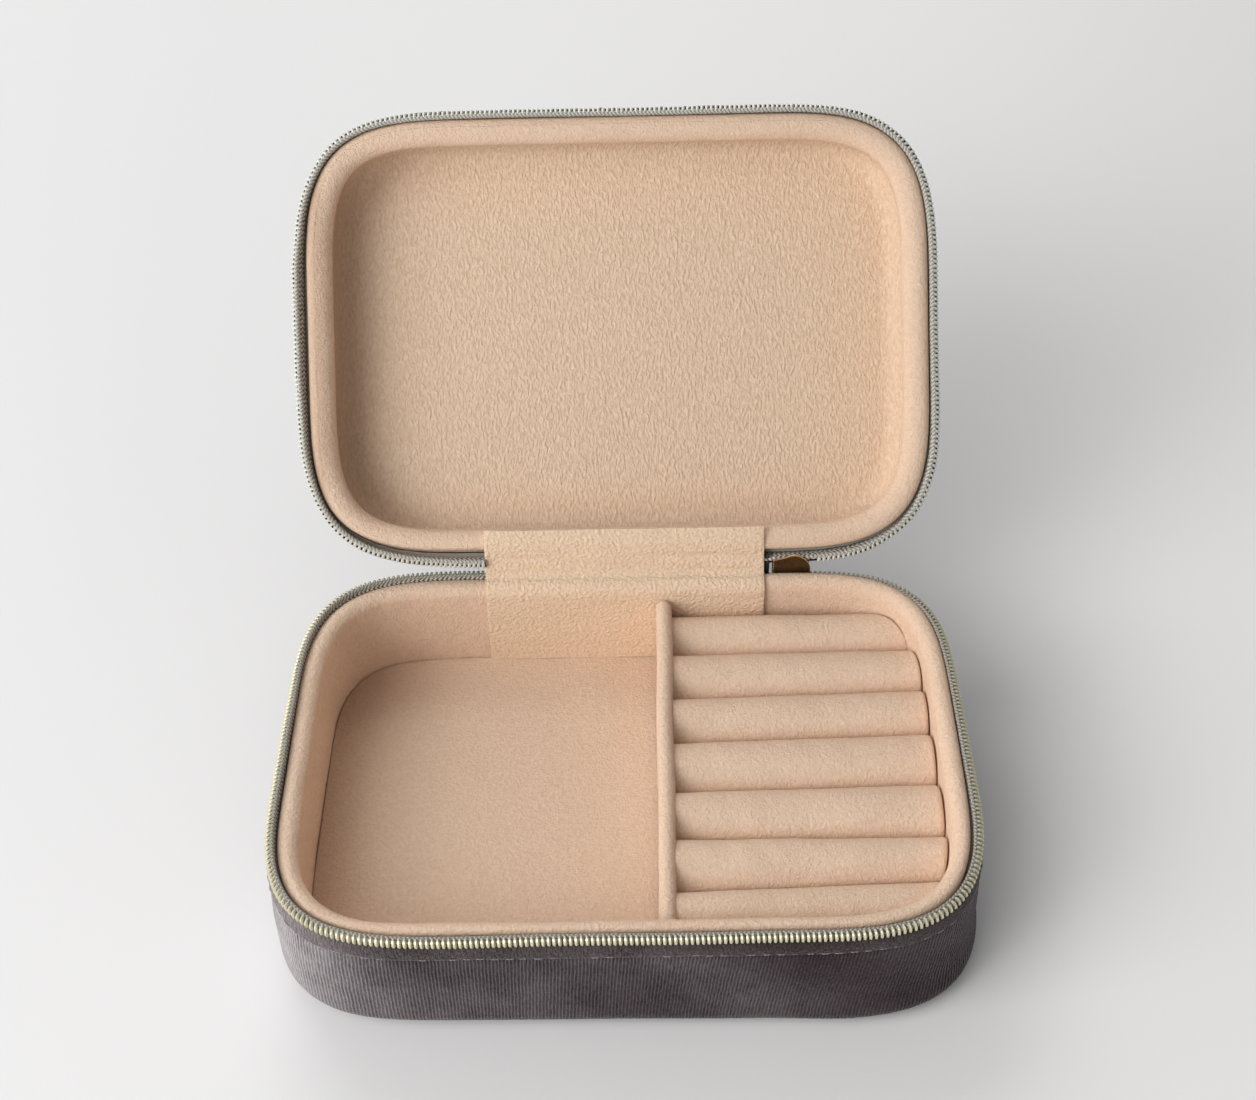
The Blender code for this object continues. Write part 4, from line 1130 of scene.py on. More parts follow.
# %% Looped cord along the coil
def add_cord(shell, name, start, middle, radius):
    """The sewing cord: a circle carried along the zip, its radius r + a cos(2 pi s / pitch + k |angle|).

    The angle is counted from the cord's top, so the crests of the relief lean back on both sides, like V
    stitches. There are five stitches to four teeth.
    """
    columns = int((ZIP_END - start) / TOOTH_PITCH * 8)
    distance = np.linspace(start, ZIP_END - 0.3 * MM, columns)
    angle = np.linspace(-np.pi, np.pi, 15)[:-1]
    crest = np.cos(2 * np.pi * distance / (TOOTH_PITCH * 0.8) + 2.6 * np.abs(angle)[:, None])
    radius = radius + 0.08 * MM * crest
    offset = middle + radius * np.sin(angle)[:, None] + bow(shell, distance)
    depth = -0.5 * MM - radius * np.cos(angle)[:, None] + sink(shell, distance)
    cord = add_surface(name, wall_grid(shell, distance, offset, depth), cord_knits[shell], wrap_rows=True)
    set_values(cord, "relief", 0.5 + 0.5 * crest)
    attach(cord, shell)
    print(name, len(cord.data.polygons), "faces")


add_cord("base", "lower_zip_cord", COIL_START, 1.42 * MM, 0.42 * MM)
add_cord("lid", "upper_zip_cord", 49 * MM, 1.7 * MM, 0.56 * MM)

# %% [markdown]
# ## Padded lining walls
# Thin foam under the microsuede rounds the rim of each tray. The section is a closed loop: a straight
# inside face, a rounded rim that bulges over the board's edge, and a plain back that nobody sees. The
# lid's rim slopes inwards and ends in a crisp fold over its wall. The suede is drawn tight over it, so the
# face is almost even, with a waver of a tenth of a millimetre. How far the rim bulges out over the board,
# and how far it is lifted by it, changes round the box, and two tables say so. Along each left wall lies a
# band of painted tone: painted light, paler, in the base, and painted shade, deeper, in the lid.

# %% How the padded rims bulge and rise
# (share of the way round, millimetres)
RIM_OUTS = {
    "base": [(0, 0.5), (0.25, 0.5), (0.38, -0.15), (0.62, -0.1), (0.7, 0.6), (0.8, 0.7), (0.9, 0.5), (1, 0.5)],
    "lid": [(0, 0), (0.06, 0.55), (0.83, 0.55), (0.875, -0.4), (0.94, -0.45), (1, 0)],
}
RIM_LIFTS = {
    "base": [(0, 0), (0.06, 0.1), (0.085, 0.5), (0.13, 0.5), (0.2, 0.1), (0.3, -0.1), (0.4, -0.3), (0.6, -0.3)]
    + [(0.7, -0.4), (0.82, -0.4), (0.9, 0), (1, 0)],
    "lid": [(0, 0), (1, 0)],
}
BOARD_TOP = 2.85 * MM
# x of the painted band and its reach, in millimetres, and how strongly shade is painted there; below 0 it is
# painted light
PAINTED_SHADING_BANDS = {"base": (-74.5, 5, -0.25), "lid": (-76.5, 2, 0.3)}
# prints which shells have a band of painted light or shade
print("stroked bands on:", *PAINTED_SHADING_BANDS)


# %% Lining walls
def add_lining(shell, inside_edge, outer_radius, foot, plain_from):
    """One lining wall: inside face, inner rounding, crest, outer rounding, and the outer face back down.

    The inner rounding is given. The outer one is an arc that bulges over the board by the rim's own table.
    The waver fades out over the last millimetre before the depth `plain_from`.
    """
    face = inside_edge[0, 0]
    inside = line((face, foot), (face, inside_edge[0, 1] + 0.6 * MM), 12)
    outer = arc((-outer_radius, outer_radius), outer_radius, 90, -22, 13)
    back = line((0, BOARD_TOP + 0.1 * MM), (0, foot - 9 * MM), 4)
    foot_edge = np.array([(-1.2 * MM, foot - 3 * MM), (face + 1 * MM, foot)])
    profile = np.concatenate([inside, inside_edge, outer, back, foot_edge])
    bulging = np.clip(profile[:, 0] / outer_radius + 1, 0, 1) * (profile[:, 1] < BOARD_TOP)
    offset = profile[:, 0][:, None] + bulging[:, None] * eased(RIM_OUTS[shell], round_the_rim) * MM
    lifted = np.clip((BOARD_TOP - profile[:, 1]) / (2 * MM), 0, 1)
    depth = profile[:, 1][:, None] - lifted[:, None] * eased(RIM_LIFTS[shell], round_the_rim) * MM
    grid = wall_grid(shell, round_the_rim, offset, depth)
    swell = 0.08 * MM * ripple(grid, 19 * MM, 31) + 0.03 * MM * ripple(grid, 7 * MM, 32)
    swell *= np.clip((plain_from - profile[:, 1]) / MM, 0, 1)[:, None] * (profile[:, 0] < -1 * MM)[:, None]
    inwards = grid - wall_grid(shell, round_the_rim, offset + MM, depth)
    grid = grid + inwards / MM * swell[..., None]
    wall = add_surface(shell + "_suede_wall", grid, suede, wrap_rows=True, wrap_columns=True)
    # a band of painted tone along the left wall: painted light in the base, painted shade in the lid
    place, reach, painted_amount = PAINTED_SHADING_BANDS[shell]
    set_values(wall, "painted_shading", painted_amount * np.exp(-(((points_of(wall)[:, 0] / MM - place) / reach) ** 2)))
    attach(wall, shell)
    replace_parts(wall, shell + "_lining_wall")
    return wall


quarter = np.radians(np.linspace(180, 90, 16))[:, None]
quarter_turn = np.hstack([np.cos(quarter), np.sin(quarter)])
base_edge = np.array([-1.2, 3.1]) * MM + np.array([2.8, -3.1]) * MM * quarter_turn
lid_edge = np.array([-1.6, 3.5]) * MM + np.array([4.2, -3.5]) * MM * quarter_turn
tuck_under = np.concatenate([[(-4.4 * MM, 4.35 * MM)], arc((-5.15 * MM, 3.55 * MM), 0.65 * MM, 280, 190, 8)])
add_lining("base", base_edge, 1.2 * MM, 29.9 * MM, 26 * MM)
add_lining("lid", np.concatenate([tuck_under, lid_edge]), 1.6 * MM, 20.9 * MM, 3.3 * MM)
print("lining walls made")

# %% [markdown]
# ## Floor pad and lid panel
# The base's floor is a padded board dropped in after the wall, so a hairline seam shows round it. The
# lid's panel is dished: its cloth curves up the wall, which gives the recess its soft edge. Both get
# painted shade near their left ends, and the floor also in its back left corner.


# %% Floor pad
def add_floor_pad():
    """A flat pad with a rounded upper edge: rows from the middle out, over the edge and back underneath."""
    top, thick, radius = 25 * MM, 3 * MM, 0.35 * MM
    edge = -4.06 * MM
    rounding = arc((edge - radius, top + radius), radius, 90, 0, 6)
    top_rows, lower_rows = 17, 5
    shares = np.concatenate([np.linspace(0.02, 0.98, top_rows - 1), np.ones(9), [0.5, 0.02]])
    offset = np.concatenate([np.full(top_rows, edge - radius), rounding[1:, 0], np.full(lower_rows, edge)])
    depth = np.concatenate([np.full(top_rows, top), rounding[1:, 1], np.full(lower_rows, top + thick)])
    crown = np.clip(1 - (shares[:top_rows] - 0.1), 0, 0.12) / 0.12
    depth[:top_rows] -= 0.25 * MM * crown
    grid = wall_grid("base", round_the_rim[::2], offset, depth, shares)
    grid[:top_rows, :, 2] += 0.08 * MM * ripple(grid[:top_rows], 26 * MM, 41)
    flat = closed_map(grid[..., 0], grid[..., 1])
    pad = add_surface("floor_pad_suede", grid, suede, wrap_columns=True, fans=True, flat_places=flat)
    x, y, _ = points_of(pad).T / MM
    # painted shade along the left wall and in the back left corner
    shade_along_left_wall = 0.35 * np.exp(-(((x + 76) / 10) ** 2))
    shade_in_back_corner = 0.35 * np.exp(-((np.hypot(x + 66, y - 42) / 15) ** 2))
    set_values(pad, "painted_shading", np.clip(shade_along_left_wall + shade_in_back_corner, 0, 0.5))
    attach(pad, "base")
    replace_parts(pad, "base_floor_pad")
    return pad


print("floor pad", len(add_floor_pad().data.polygons), "faces")


# %% Lid panel
def add_lid_panel():
    """The dished panel: a slightly full middle, a fillet, and the cloth up the wall to the padded rim."""
    bottom, fillet, thick, top = 17 * MM, 5.2 * MM, 2.2 * MM, 4.4 * MM
    edge = -4.5 * MM
    rise = arc((edge - fillet, bottom - fillet), fillet, -90, 0, 16)
    wall = line((edge, bottom - fillet - MM), (edge, top), 8)
    wall = np.concatenate([wall, [(edge + 0.15 * MM, top - 0.25 * MM)]])
    back = np.array([(edge + 0.6 * MM, top - 0.3 * MM), (edge + 0.6 * MM, bottom + thick)])
    middle_rows = 26
    flat_rows = np.linspace(0.02, 0.985, middle_rows)
    edges = np.concatenate([rise, wall, back])
    shares = np.concatenate([flat_rows, np.ones(len(edges)), [0.5, 0.02]])
    offset = np.concatenate([np.full(middle_rows, edge - fillet), edges[:, 0], [edge, edge]])
    depth = np.concatenate([np.full(middle_rows, bottom), edges[:, 1], [bottom + thick] * 2])
    depth[:middle_rows] -= 0.3 * MM * np.clip((1 - flat_rows) / 0.25, 0, 1) ** 0.7
    grid = wall_grid("lid", round_the_rim, offset, depth, shares)
    across = np.concatenate([np.zeros(middle_rows), measured(edges), [0, 0]])[:, None]
    points = wall_grid("base", round_the_rim, np.minimum(offset, edge - fillet), depth, shares)
    _, normals = rim_at(round_the_rim)
    flat = points[..., :2] + across[..., None] * normals
    flat = closed_map(flat[..., 0], flat[..., 1])
    panel = add_surface("lid_panel_suede", grid, panel_suede, wrap_columns=True, fans=True, flat_places=flat)
    # painted shade at the left of the recess, beside the lid's left wall
    set_values(panel, "painted_shading", 0.45 * np.exp(-(((points_of(panel)[:, 0] / MM + 76) / 8) ** 2)))
    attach(panel, "lid")
    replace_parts(panel, "lid_panel_pad")
    return panel


print("lid panel", len(add_lid_panel().data.polygons), "faces")

# %% [markdown]
# ## Divider and ring rolls
# The divider is a board wrapped in suede, with a rounded top. The seven rolls are foam bars wrapped in the
# same suede and pressed side by side, so each has a full round top and flat sides, and a ring's shank
# slips in between two of them. Their right ends follow the curve of the wall, with the cloth folded over.


# %% Divider
def divider_lean(y):
    """The divider was glued in a little askew: its front end stands a millimetre further left than its back."""
    share = (RIM_HALF_DEPTH - y) / (2 * RIM_HALF_DEPTH)
    return 0.3 * MM - 1.3 * MM * share


def add_divider():
    """A rounded bar from front to back. Its section is a half circle on two straight sides.

    Both ends draw in by a quarter circle. From 10 mm in front of the middle the bar climbs towards the
    back, by 1.7 mm in the end.
    """
    low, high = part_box("divider_board")
    half = (high.x - low.x) / 2 + 0.3 * MM
    middle = (high.x + low.x) / 2
    angle = np.linspace(0, np.pi, 15)
    section_x = np.concatenate([half * np.cos(angle), np.full(6, -half), np.full(6, half)])
    side = np.linspace(-1 * MM, -16 * MM, 6)
    height = np.concatenate([half * np.sin(angle), side, side[::-1]])
    y = np.linspace(low.y, high.y, 140)
    from_end = np.minimum(y - low.y, high.y - y)
    rounded = np.sqrt(np.clip(1 - (1 - np.clip(from_end / (0.9 * MM), 0, 1)) ** 2, 0.12, 1))
    x = middle + divider_lean(y) + section_x[:, None] * rounded
    z = high.z - half + height[:, None] - (1 - rounded) * 0.8 * MM
    z = z + 1.7 * MM * np.clip((y + 10 * MM) / (60 * MM), 0, 1) ** 1.5
    grid = np.stack([x, np.broadcast_to(y, x.shape), z], -1)
    grid[..., 0] += 0.16 * MM * ripple(grid * [0, 1, 0], 38 * MM, 51)
    grid[..., 2] += 0.1 * MM * ripple(grid * [0, 1, 0], 24 * MM, 52)
    divider = add_surface("divider_suede", grid, suede, wrap_rows=True)
    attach(divider, "base")
    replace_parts(divider, "divider_board")
    return divider


print("divider", len(add_divider().data.polygons), "faces")


# %% Ring rolls
def wall_x(y, inset):
    """x of the right wall's inside face at these y: the rim line moved in by the inset, read at |y|."""
    quarter = rim_table[1 : CORNER_SAMPLES + 1]
    inside = quarter[:, 1:3] - quarter[:, 3:5] * inset
    order = np.argsort(inside[:, 1])
    return np.interp(np.abs(y), inside[order, 1], inside[order, 0])


# Where the seams beside the rolls lie, and how far each is shifted at its left and at its right end.
SEAM_Y = np.array([-50.4, -36.2, -21.9, -7.7, 6.6, 20.8, 35.1, 49.3]) * MM
SEAM_LEFT = np.array([0, -1.5, -0.7, -1.1, 0.1, -0.1, 0.8, 0]) * MM
SEAM_RIGHT = np.array([0, 0.4, -1.5, 0, 1.5, 1.4, 0.9, 0]) * MM
ROLL_RISE, ROLL_FULLNESS = 6.9 * MM, 0.86
ROLL_COUNT = 7


def add_roll(number):
    """One roll: a superellipse top on straight sides, carried from the divider to the wall.

    The top's height at the cross-angle a is h sin^0.86 a and its half width w cos a, so the crest is a
    little fuller than a circle's. Near the right end the section draws in by a quarter circle. The seams
    between rolls were glued by eye, so each runs a little askew, by its shift at the left and at the right.
    """
    low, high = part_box("ring_roll_" + str(number))
    half = (high.y - low.y) / 2 + 0.1 * MM
    middle = (high.y + low.y) / 2
    rise = ROLL_RISE
    angle = np.linspace(0, np.pi, 41)
    across = np.concatenate([-half * np.cos(angle), np.full(5, half), np.full(5, -half)])
    side = np.linspace(-1.5, -11, 5) * MM
    up = np.concatenate([rise * np.sin(angle) ** ROLL_FULLNESS, side, side[::-1]])
    right = wall_x(middle + across, 4.35 * MM)
    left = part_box("divider_board")[1].x + (divider_lean(middle + across) + 0.2 * MM)[:, None]
    share = np.concatenate([np.linspace(0, 0.97, 70), 1 - 0.03 * np.linspace(1, 0, 14)[1:] ** 1.6])
    x = left + (right[:, None] - left) * share
    from_end = np.clip((right[:, None] - x) / (1.1 * MM), 0, 1)
    draw = np.sqrt(np.clip(1 - (1 - from_end) ** 2, 0, 1)) * 0.16 + 0.84
    y = middle + across[:, None] * (1 - 0.4 * (1 - draw))
    askew = np.interp(y, SEAM_Y, SEAM_LEFT) * (1 - share) + np.interp(y, SEAM_Y, SEAM_RIGHT) * share
    y = y + askew
    z = high.z - rise + up[:, None] * np.where(up[:, None] > 0, draw, 1)
    grid = np.stack([x, y, z], -1)
    top = np.clip(up / rise, 0, 1)[:, None]
    grid[..., 2] += top * (0.12 * MM * ripple(grid, 19 * MM, 60 + number) + 0.05 * MM * ripple(grid, 6 * MM, 70))
    roll = add_surface("ring_roll_suede_" + str(number), grid, suede, wrap_rows=True)
    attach(roll, "base")
    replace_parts(roll, "ring_roll_" + str(number))
    return roll


for number in range(1, ROLL_COUNT + 1):
    roll = add_roll(number)
print(ROLL_COUNT, "rolls of", len(roll.data.polygons), "faces each")

# %% [markdown]
# ## Flap and hinge cloth
# Two strips of cloth join the trays. The inner flap is embossed suede, glued down the base's back wall,
# over its rim, across the gap and onto the lid's rim. Behind it a strip of velvet does the carrying. Each
# is one path in the plane across the hinge, carried sideways, and is built in place with the lid standing
# open.


# %% A curve across the gap
def lid_place(offset, depth):
    """Where a place on the lid's back wall lies with the lid open, as (y, z)."""
    return into_shell("lid", 0, RIM_HALF_DEPTH + offset, depth)[1:]


def bezier(first, second, third, fourth, steps):
    """Cubic curve between two places, pulled towards two handles: the usual weights of t and 1 - t."""
    t = np.linspace(0, 1, steps)[:, None]
    s = 1 - t
    return first * s**3 + second * 3 * s * s * t + third * 3 * s * t * t + fourth * t**3


print("the gap at the hinge is", round((lid_place(0, 0)[1] - BASE_RIM) / MM, 2), "mm high")


# %% Path of the flap
FLAP_LEFT, FLAP_RIGHT, FLAP_THICK = -35.1 * MM, 36.3 * MM, 0.8 * MM


def flap_path():
    """Places (y, z): up the wall, a quarter turn over the base's rim, a shallow sag, and the lid's rim."""
    inside = RIM_HALF_DEPTH - 4 * MM
    lift = 0.3 * MM + FLAP_THICK / 2
    wall = line((inside - lift, BASE_RIM - 24.7 * MM), (inside - lift, BASE_RIM - 2.2 * MM), 26)
    radius = 2.2 * MM + lift
    angle = np.linspace(np.pi, np.pi / 2, 9)[1:]
    centre = np.array([inside + 2.2 * MM, BASE_RIM - 2.2 * MM])
    over_base = centre + radius * np.stack([np.cos(angle), np.sin(angle)], -1)
    lid_start, lid_end = lid_place(-2.2 * MM, -lift), lid_place(-5.3 * MM, -lift)
    outwards = lid_place(0, -lift) - lid_start
    outwards /= np.linalg.norm(outwards)
    handle = 2.1 * MM
    gap = bezier(over_base[-1], over_base[-1] + [handle, 0], lid_start + outwards * handle, lid_start, 22)[1:]
    return smooth_line(np.concatenate([wall, over_base, gap, line(lid_start, lid_end, 8)[1:]]), 110)


print("the flap's path has", len(flap_path()), "places")

# %% Inner flap
CREASES_UP = (2.4 * MM, 6.2 * MM)
CREASE_WIDTH, CREASE_DEPTH = 0.75 * MM, 0.22 * MM


def add_flap():
    """The flap: its path carried sideways, with the slack of a cloth.

    Over the gap the cloth wavers, dips in two creases that run across it, each a bell of its height over
    the rim, and lifts a little at its cut edges.
    """
    path = flap_path()
    x = np.linspace(FLAP_LEFT, FLAP_RIGHT, 150)
    grid = np.empty((len(path), len(x), 3))
    grid[..., 0] = x
    grid[..., 1:] = path[:, None]
    height = np.clip((path[:, 1] - BASE_RIM) / (8 * MM), 0, 1)[:, None]
    waver = ripple(grid * [0.2, 1, 1], 3.4 * MM, 81) * 0.07 * MM + ripple(grid, 11 * MM, 82) * 0.08 * MM
    bent = np.sin(np.pi * np.clip(height * 1.1, 0, 1))
    grid[..., 1] += waver * (0.25 + bent)
    grid[..., 2] += waver * bent * 0.8
    crease = sum(np.exp(-(((path[:, 1] - BASE_RIM - up) / CREASE_WIDTH) ** 2)) for up in CREASES_UP)
    dip = CREASE_DEPTH * crease[:, None] * (1 + 0.3 * ripple(grid * [1, 0, 0], 30 * MM, 84))
    grid[..., 1] += dip
    grid[..., 2] -= dip
    cut_edge = np.minimum(x - FLAP_LEFT, FLAP_RIGHT - x)
    free = np.where(path[:, 1] < BASE_RIM - 4 * MM, 0, 1)[:, None]
    grid[..., 1] += free * 0.15 * MM * np.exp(-cut_edge / (2 * MM))
    thickness = FLAP_THICK * (1 - 0.35 * np.exp(-cut_edge / (0.35 * MM)))
    flap = add_sheet("flap_suede", grid, np.broadcast_to(thickness, grid.shape[:2]), flap_suede)
    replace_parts(flap, "hinge_flap")
    cut = (FLAP_RIGHT - FLAP_LEFT, measured(path)[-1])
    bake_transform(flap)
    return cut[1]


print("flap is cut", round(add_flap() / MM, 1), "mm long")

# %% Hinge cloth
HINGE_CLOTH_RIGHT = 37.8 * MM
HINGE_CLOTH_THICK = 0.5 * MM


def add_hinge_cloth():
    """The velvet hinge: from the base's wall, folding inwards between the rims, to the lid's wall."""
    middle, turn, foot = 1.85 * MM, 2.6 * MM, 8 * MM
    base_y = RIM_HALF_DEPTH + middle
    base_turn = np.array([base_y, BASE_RIM - turn])
    lid_turn, lid_foot = lid_place(middle, turn), lid_place(middle, foot)
    back = (lid_turn - lid_foot) / np.linalg.norm(lid_turn - lid_foot) * 2.6 * MM
    fold = bezier(base_turn, base_turn + [0, 2.6 * MM], lid_turn + back, lid_turn, 24)[1:]
    path = np.concatenate([line((base_y, BASE_RIM - foot), base_turn, 8), fold, line(lid_turn, lid_foot, 8)[1:]])
    x = np.linspace(FLAP_LEFT, HINGE_CLOTH_RIGHT, 90)
    grid = np.empty((len(path), len(x), 3))
    grid[..., 0] = x
    grid[..., 1:] = path[:, None]
    cloth = add_sheet("hinge_velvet", grid, HINGE_CLOTH_THICK, ribbed_velvet)
    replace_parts(cloth, "hinge_cloth")
    cut = (x[-1] - x[0], measured(path)[-1])
    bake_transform(cloth)
    return cut[1]


print("hinge cloth is cut", round(add_hinge_cloth() / MM, 1), "mm long")

# %% [markdown]
# ## Slider, bail and pull tab
# The zip's slider is two plates joined by a bridge, with the coils running between them. From inside the
# box its peaked upper plate shows; the lower plate, the bail and the pull tab hang outside. A plate is a
# thin sheet whose outline is a width or height worked out along its length, with thinned, rubbed edges.


# %% Plates of the slider
def add_plate(name, grid, thickness, rubbed_width):
    """A metal plate from a grid of mid-surface points, thinner and brighter towards its border."""
    rows, columns = grid.shape[:2]
    down, along = np.meshgrid(np.arange(rows), np.arange(columns), indexing="ij")
    span_down = np.linalg.norm(grid[-1] - grid[0], axis=-1)[None]
    span_along = np.linalg.norm(grid[:, -1] - grid[:, 0], axis=-1)[:, None]
    from_ends = np.minimum(down, rows - 1 - down) / (rows - 1) * span_down
    from_sides = np.minimum(along, columns - 1 - along) / (columns - 1) * span_along
    border = np.minimum(from_ends, from_sides)
    full = thickness * (0.55 + 0.45 * np.sqrt(np.clip(border / (0.3 * MM), 0, 1)))
    plate = add_sheet(name, grid, full, brass)
    rubbed = np.clip(1 - border / rubbed_width, 0, 1).ravel() ** 1.5
    set_values(plate, "rubbed", np.concatenate([rubbed, rubbed]))
    return plate


def outline_plate(x_span, low_share, low_span, high_share, high_span, y, steps=(22, 40)):
    """Grid of an upright plate: at each x its lower and upper edge come from shares of the two spans."""
    along = np.linspace(0, 1, steps[1])
    x = x_span[0] + (x_span[1] - x_span[0]) * along
    low = low_span[0] + (low_span[1] - low_span[0]) * np.interp(along, *low_share)
    high = high_span[0] + (high_span[1] - high_span[0]) * np.interp(along, *high_share)
    up = np.linspace(0, 1, steps[0])[:, None]
    z = low + (high - low) * up
    return np.stack([np.broadcast_to(x, z.shape), np.broadcast_to(y, z.shape), z], -1)


# %% Slider
slider_low, slider_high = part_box("slider_body")
PLATE_THICK = 0.55 * MM
inner_y = slider_low.y + PLATE_THICK / 2
outer_y = slider_high.y - PLATE_THICK / 2
# places along a plate and the edge's share of its span there
FLAT_SHARE = ((0, 1), (0, 0))
PEAK_SHARE = (
    (0, 0.02, 0.14, 0.3, 0.4, 0.47, 0.58, 0.66, 0.75, 0.85, 0.92, 0.97, 1),
    (0.69, 0.73, 0.79, 0.86, 0.93, 0.98, 1, 0.97, 0.89, 0.76, 0.62, 0.46, 0.25),
)
LOWER_SHARE = ((0, 0.05, 0.15, 0.35, 0.7, 0.88, 0.96, 1), (0.6, 0.78, 0.92, 1, 1, 0.92, 0.78, 0.6))
x_span = (slider_low.x, slider_high.x)
peak_span = (BASE_RIM, slider_high.z + 0.5 * MM)
peak = outline_plate(x_span, FLAT_SHARE, (BASE_RIM - 1.5 * MM,) * 2, PEAK_SHARE, peak_span, inner_y)
inner_plate = add_plate("slider_inner_plate", peak, PLATE_THICK, 0.3 * MM)
low_plate = outline_plate(
    x_span, LOWER_SHARE, (BASE_RIM, slider_low.z), FLAT_SHARE, (BASE_RIM + 0.3 * MM,) * 2, outer_y
)
outer_plate = add_plate("slider_outer_plate", low_plate, PLATE_THICK, 0.4 * MM)
bridge_y = np.linspace(inner_y, outer_y, 12)[:, None]
bridge_x = np.linspace(slider_low.x + 4.8 * MM, slider_low.x + 8.6 * MM, 16)
narrow = 0.9 * MM * (0.5 + 0.5 * np.sin(np.linspace(0.15, np.pi - 0.15, 16)))
bridge_grid = np.stack(np.broadcast_arrays(bridge_x, bridge_y, BASE_RIM - 0.15 * MM), -1)
bridge = add_sheet("slider_bridge", bridge_grid, narrow, brass)
for piece in (inner_plate, outer_plate, bridge):
    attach(piece, "slider")
    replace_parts(piece, "slider_body")
print("slider spans", round((x_span[1] - x_span[0]) / MM, 2), "mm")


# %% Bail
def add_tube_piece(name, path, side, radius, steps=10):
    """One tube along a path in a plane: its rings stand on the plane's normal and on the path's own."""
    ahead = np.gradient(path, axis=0)
    ahead /= np.linalg.norm(ahead, axis=-1, keepdims=True)
    side = np.broadcast_to(side, path.shape)
    upright = np.cross(ahead, side)
    return add_tubes(name, path[None], (side[None], upright[None]), radius, brass, sides=steps)


swing = next(joint for joint in frame["joints"] if joint["name"] == "pull_tab_swing")
tab_axis = np.array(swing["pos_m"])
reach_x = 1.75 * MM
arch_steps = 20
turn = np.linspace(0, np.pi, arch_steps)
foot_y = outer_y + 0.35 * MM
depth_y = tab_axis[1] - foot_y
arch_x = tab_axis[0] - reach_x * np.cos(turn)
arch_y = foot_y + depth_y * np.sin(turn) ** 0.45
bail_path = np.stack([arch_x, arch_y, np.full(arch_steps, tab_axis[2])], -1)
bail = add_tube_piece("slider_bail_wire", bail_path, (0.0, 0.0, 1.0), 0.45 * MM)
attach(bail, "slider")
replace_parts(bail, "slider_bail")
print("bail reaches", round(depth_y / MM, 2), "mm out")

# %% Pull tab
EYE_RADIUS = 1.1 * MM
ring_turn = np.linspace(0.5 * np.pi, 2.5 * np.pi, 33)
ring = EYE_RADIUS * np.stack([np.zeros(33), np.cos(ring_turn), np.sin(ring_turn)], -1)
ring_path = tab_axis + ring
eye = add_tube_piece("pull_tab_eye", ring_path, (1.0, 0.0, 0.0), 0.4 * MM)
TAB_SHARE = ((0, 0.06, 0.16, 0.3, 0.9, 0.955, 0.985, 1), (0.34, 0.4, 0.8, 1, 1, 0.9, 0.7, 0.36))
down = np.linspace(0, 1, 60)[:, None]
TAB_HALF_WIDTH, TAB_LENGTH = 2.3 * MM, 19.7 * MM
half_width = TAB_HALF_WIDTH * np.interp(down, *TAB_SHARE)
tab_x = tab_axis[0] + half_width * np.linspace(-1, 1, 18)
tab_z = tab_axis[2] - 1.2 * MM - TAB_LENGTH * down
tab_grid = np.stack(np.broadcast_arrays(tab_x, tab_axis[1], tab_z), -1)
tab = add_plate("pull_tab_plate", tab_grid, 0.9 * MM, 0.5 * MM)
for piece in (eye, tab):
    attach(piece, "pull_tab")
    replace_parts(piece, "pull_tab")
print("pull tab hangs from", [round(float(v) / MM, 2) for v in tab_axis])

# %% [markdown]
# ## Boards inside
# The trays and the stiffening boards keep their modelled shape, because nobody sees more of them than the
# model has. Only their finish changes.

# %% Boards inside
for name in ("base_board_tray", "lid_board_tray", "base_floor_board", "lid_panel_board"):
    board = frame["nodes"][name]
    board.data.materials.clear()
    board.data.materials.append(grey_board)
print("boards:", grey_board.name)

# %% [markdown]
# ## Table and light
# The box stands on a sheet of pale paper that fills the view. The light is that of a plain room: a wide
# window low on the left, here in three soft panes that reach round to the front left corner, a smaller
# window behind, and a soft glow from the room, weaker on the right. The paper is a matt near-white, so
# it keeps the box's own soft shadow, and a painted light makes it a little paler to the right, away from the
# window.

# %% Paper table
TABLE_HALF = 3.0
PAINTED_LIGHT_FADES_OVER = 0.15
floor_mesh = bpy.data.meshes.new("table_paper")
table_corners = [(x * TABLE_HALF, y * TABLE_HALF, 0) for x, y in ((-1, -1), (1, -1), (1, 1), (-1, 1))]
floor_mesh.from_pydata(table_corners, [], [(0, 1, 2, 3)])
floor = bpy.data.objects.new("table_paper", floor_mesh)
bpy.context.scene.collection.objects.link(floor)
paper, paper_tree, paper_shader = start_finish("matt_paper", Roughness=0.9)
paper_shader.inputs["Specular IOR Level"].default_value = 0.1
paper_place = add_node(paper_tree, "ShaderNodeTexCoord").outputs["Object"]
paper_side = add_node(paper_tree, "ShaderNodeSeparateXYZ", {0: paper_place})
# painted light: the paper turns paler towards the right, where the room's glow is weaker
painted_light_share = add_node(
    paper_tree,
    "ShaderNodeMapRange",
    {"Value": paper_side.outputs[0], "From Min": -PAINTED_LIGHT_FADES_OVER, "From Max": PAINTED_LIGHT_FADES_OVER},
)
paper_tone_painted_light = add_node(
    paper_tree,
    "ShaderNodeMix",
    {"Factor": painted_light_share.outputs[0], 6: linear("#EAE9E9"), 7: linear("#F6F5F4")},
    data_type="RGBA",
)
paper_tree.links.new(paper_tone_painted_light.outputs[2], paper_shader.inputs["Base Color"])
floor_mesh.materials.append(paper)
print("paper is", 2 * TABLE_HALF, "m wide")

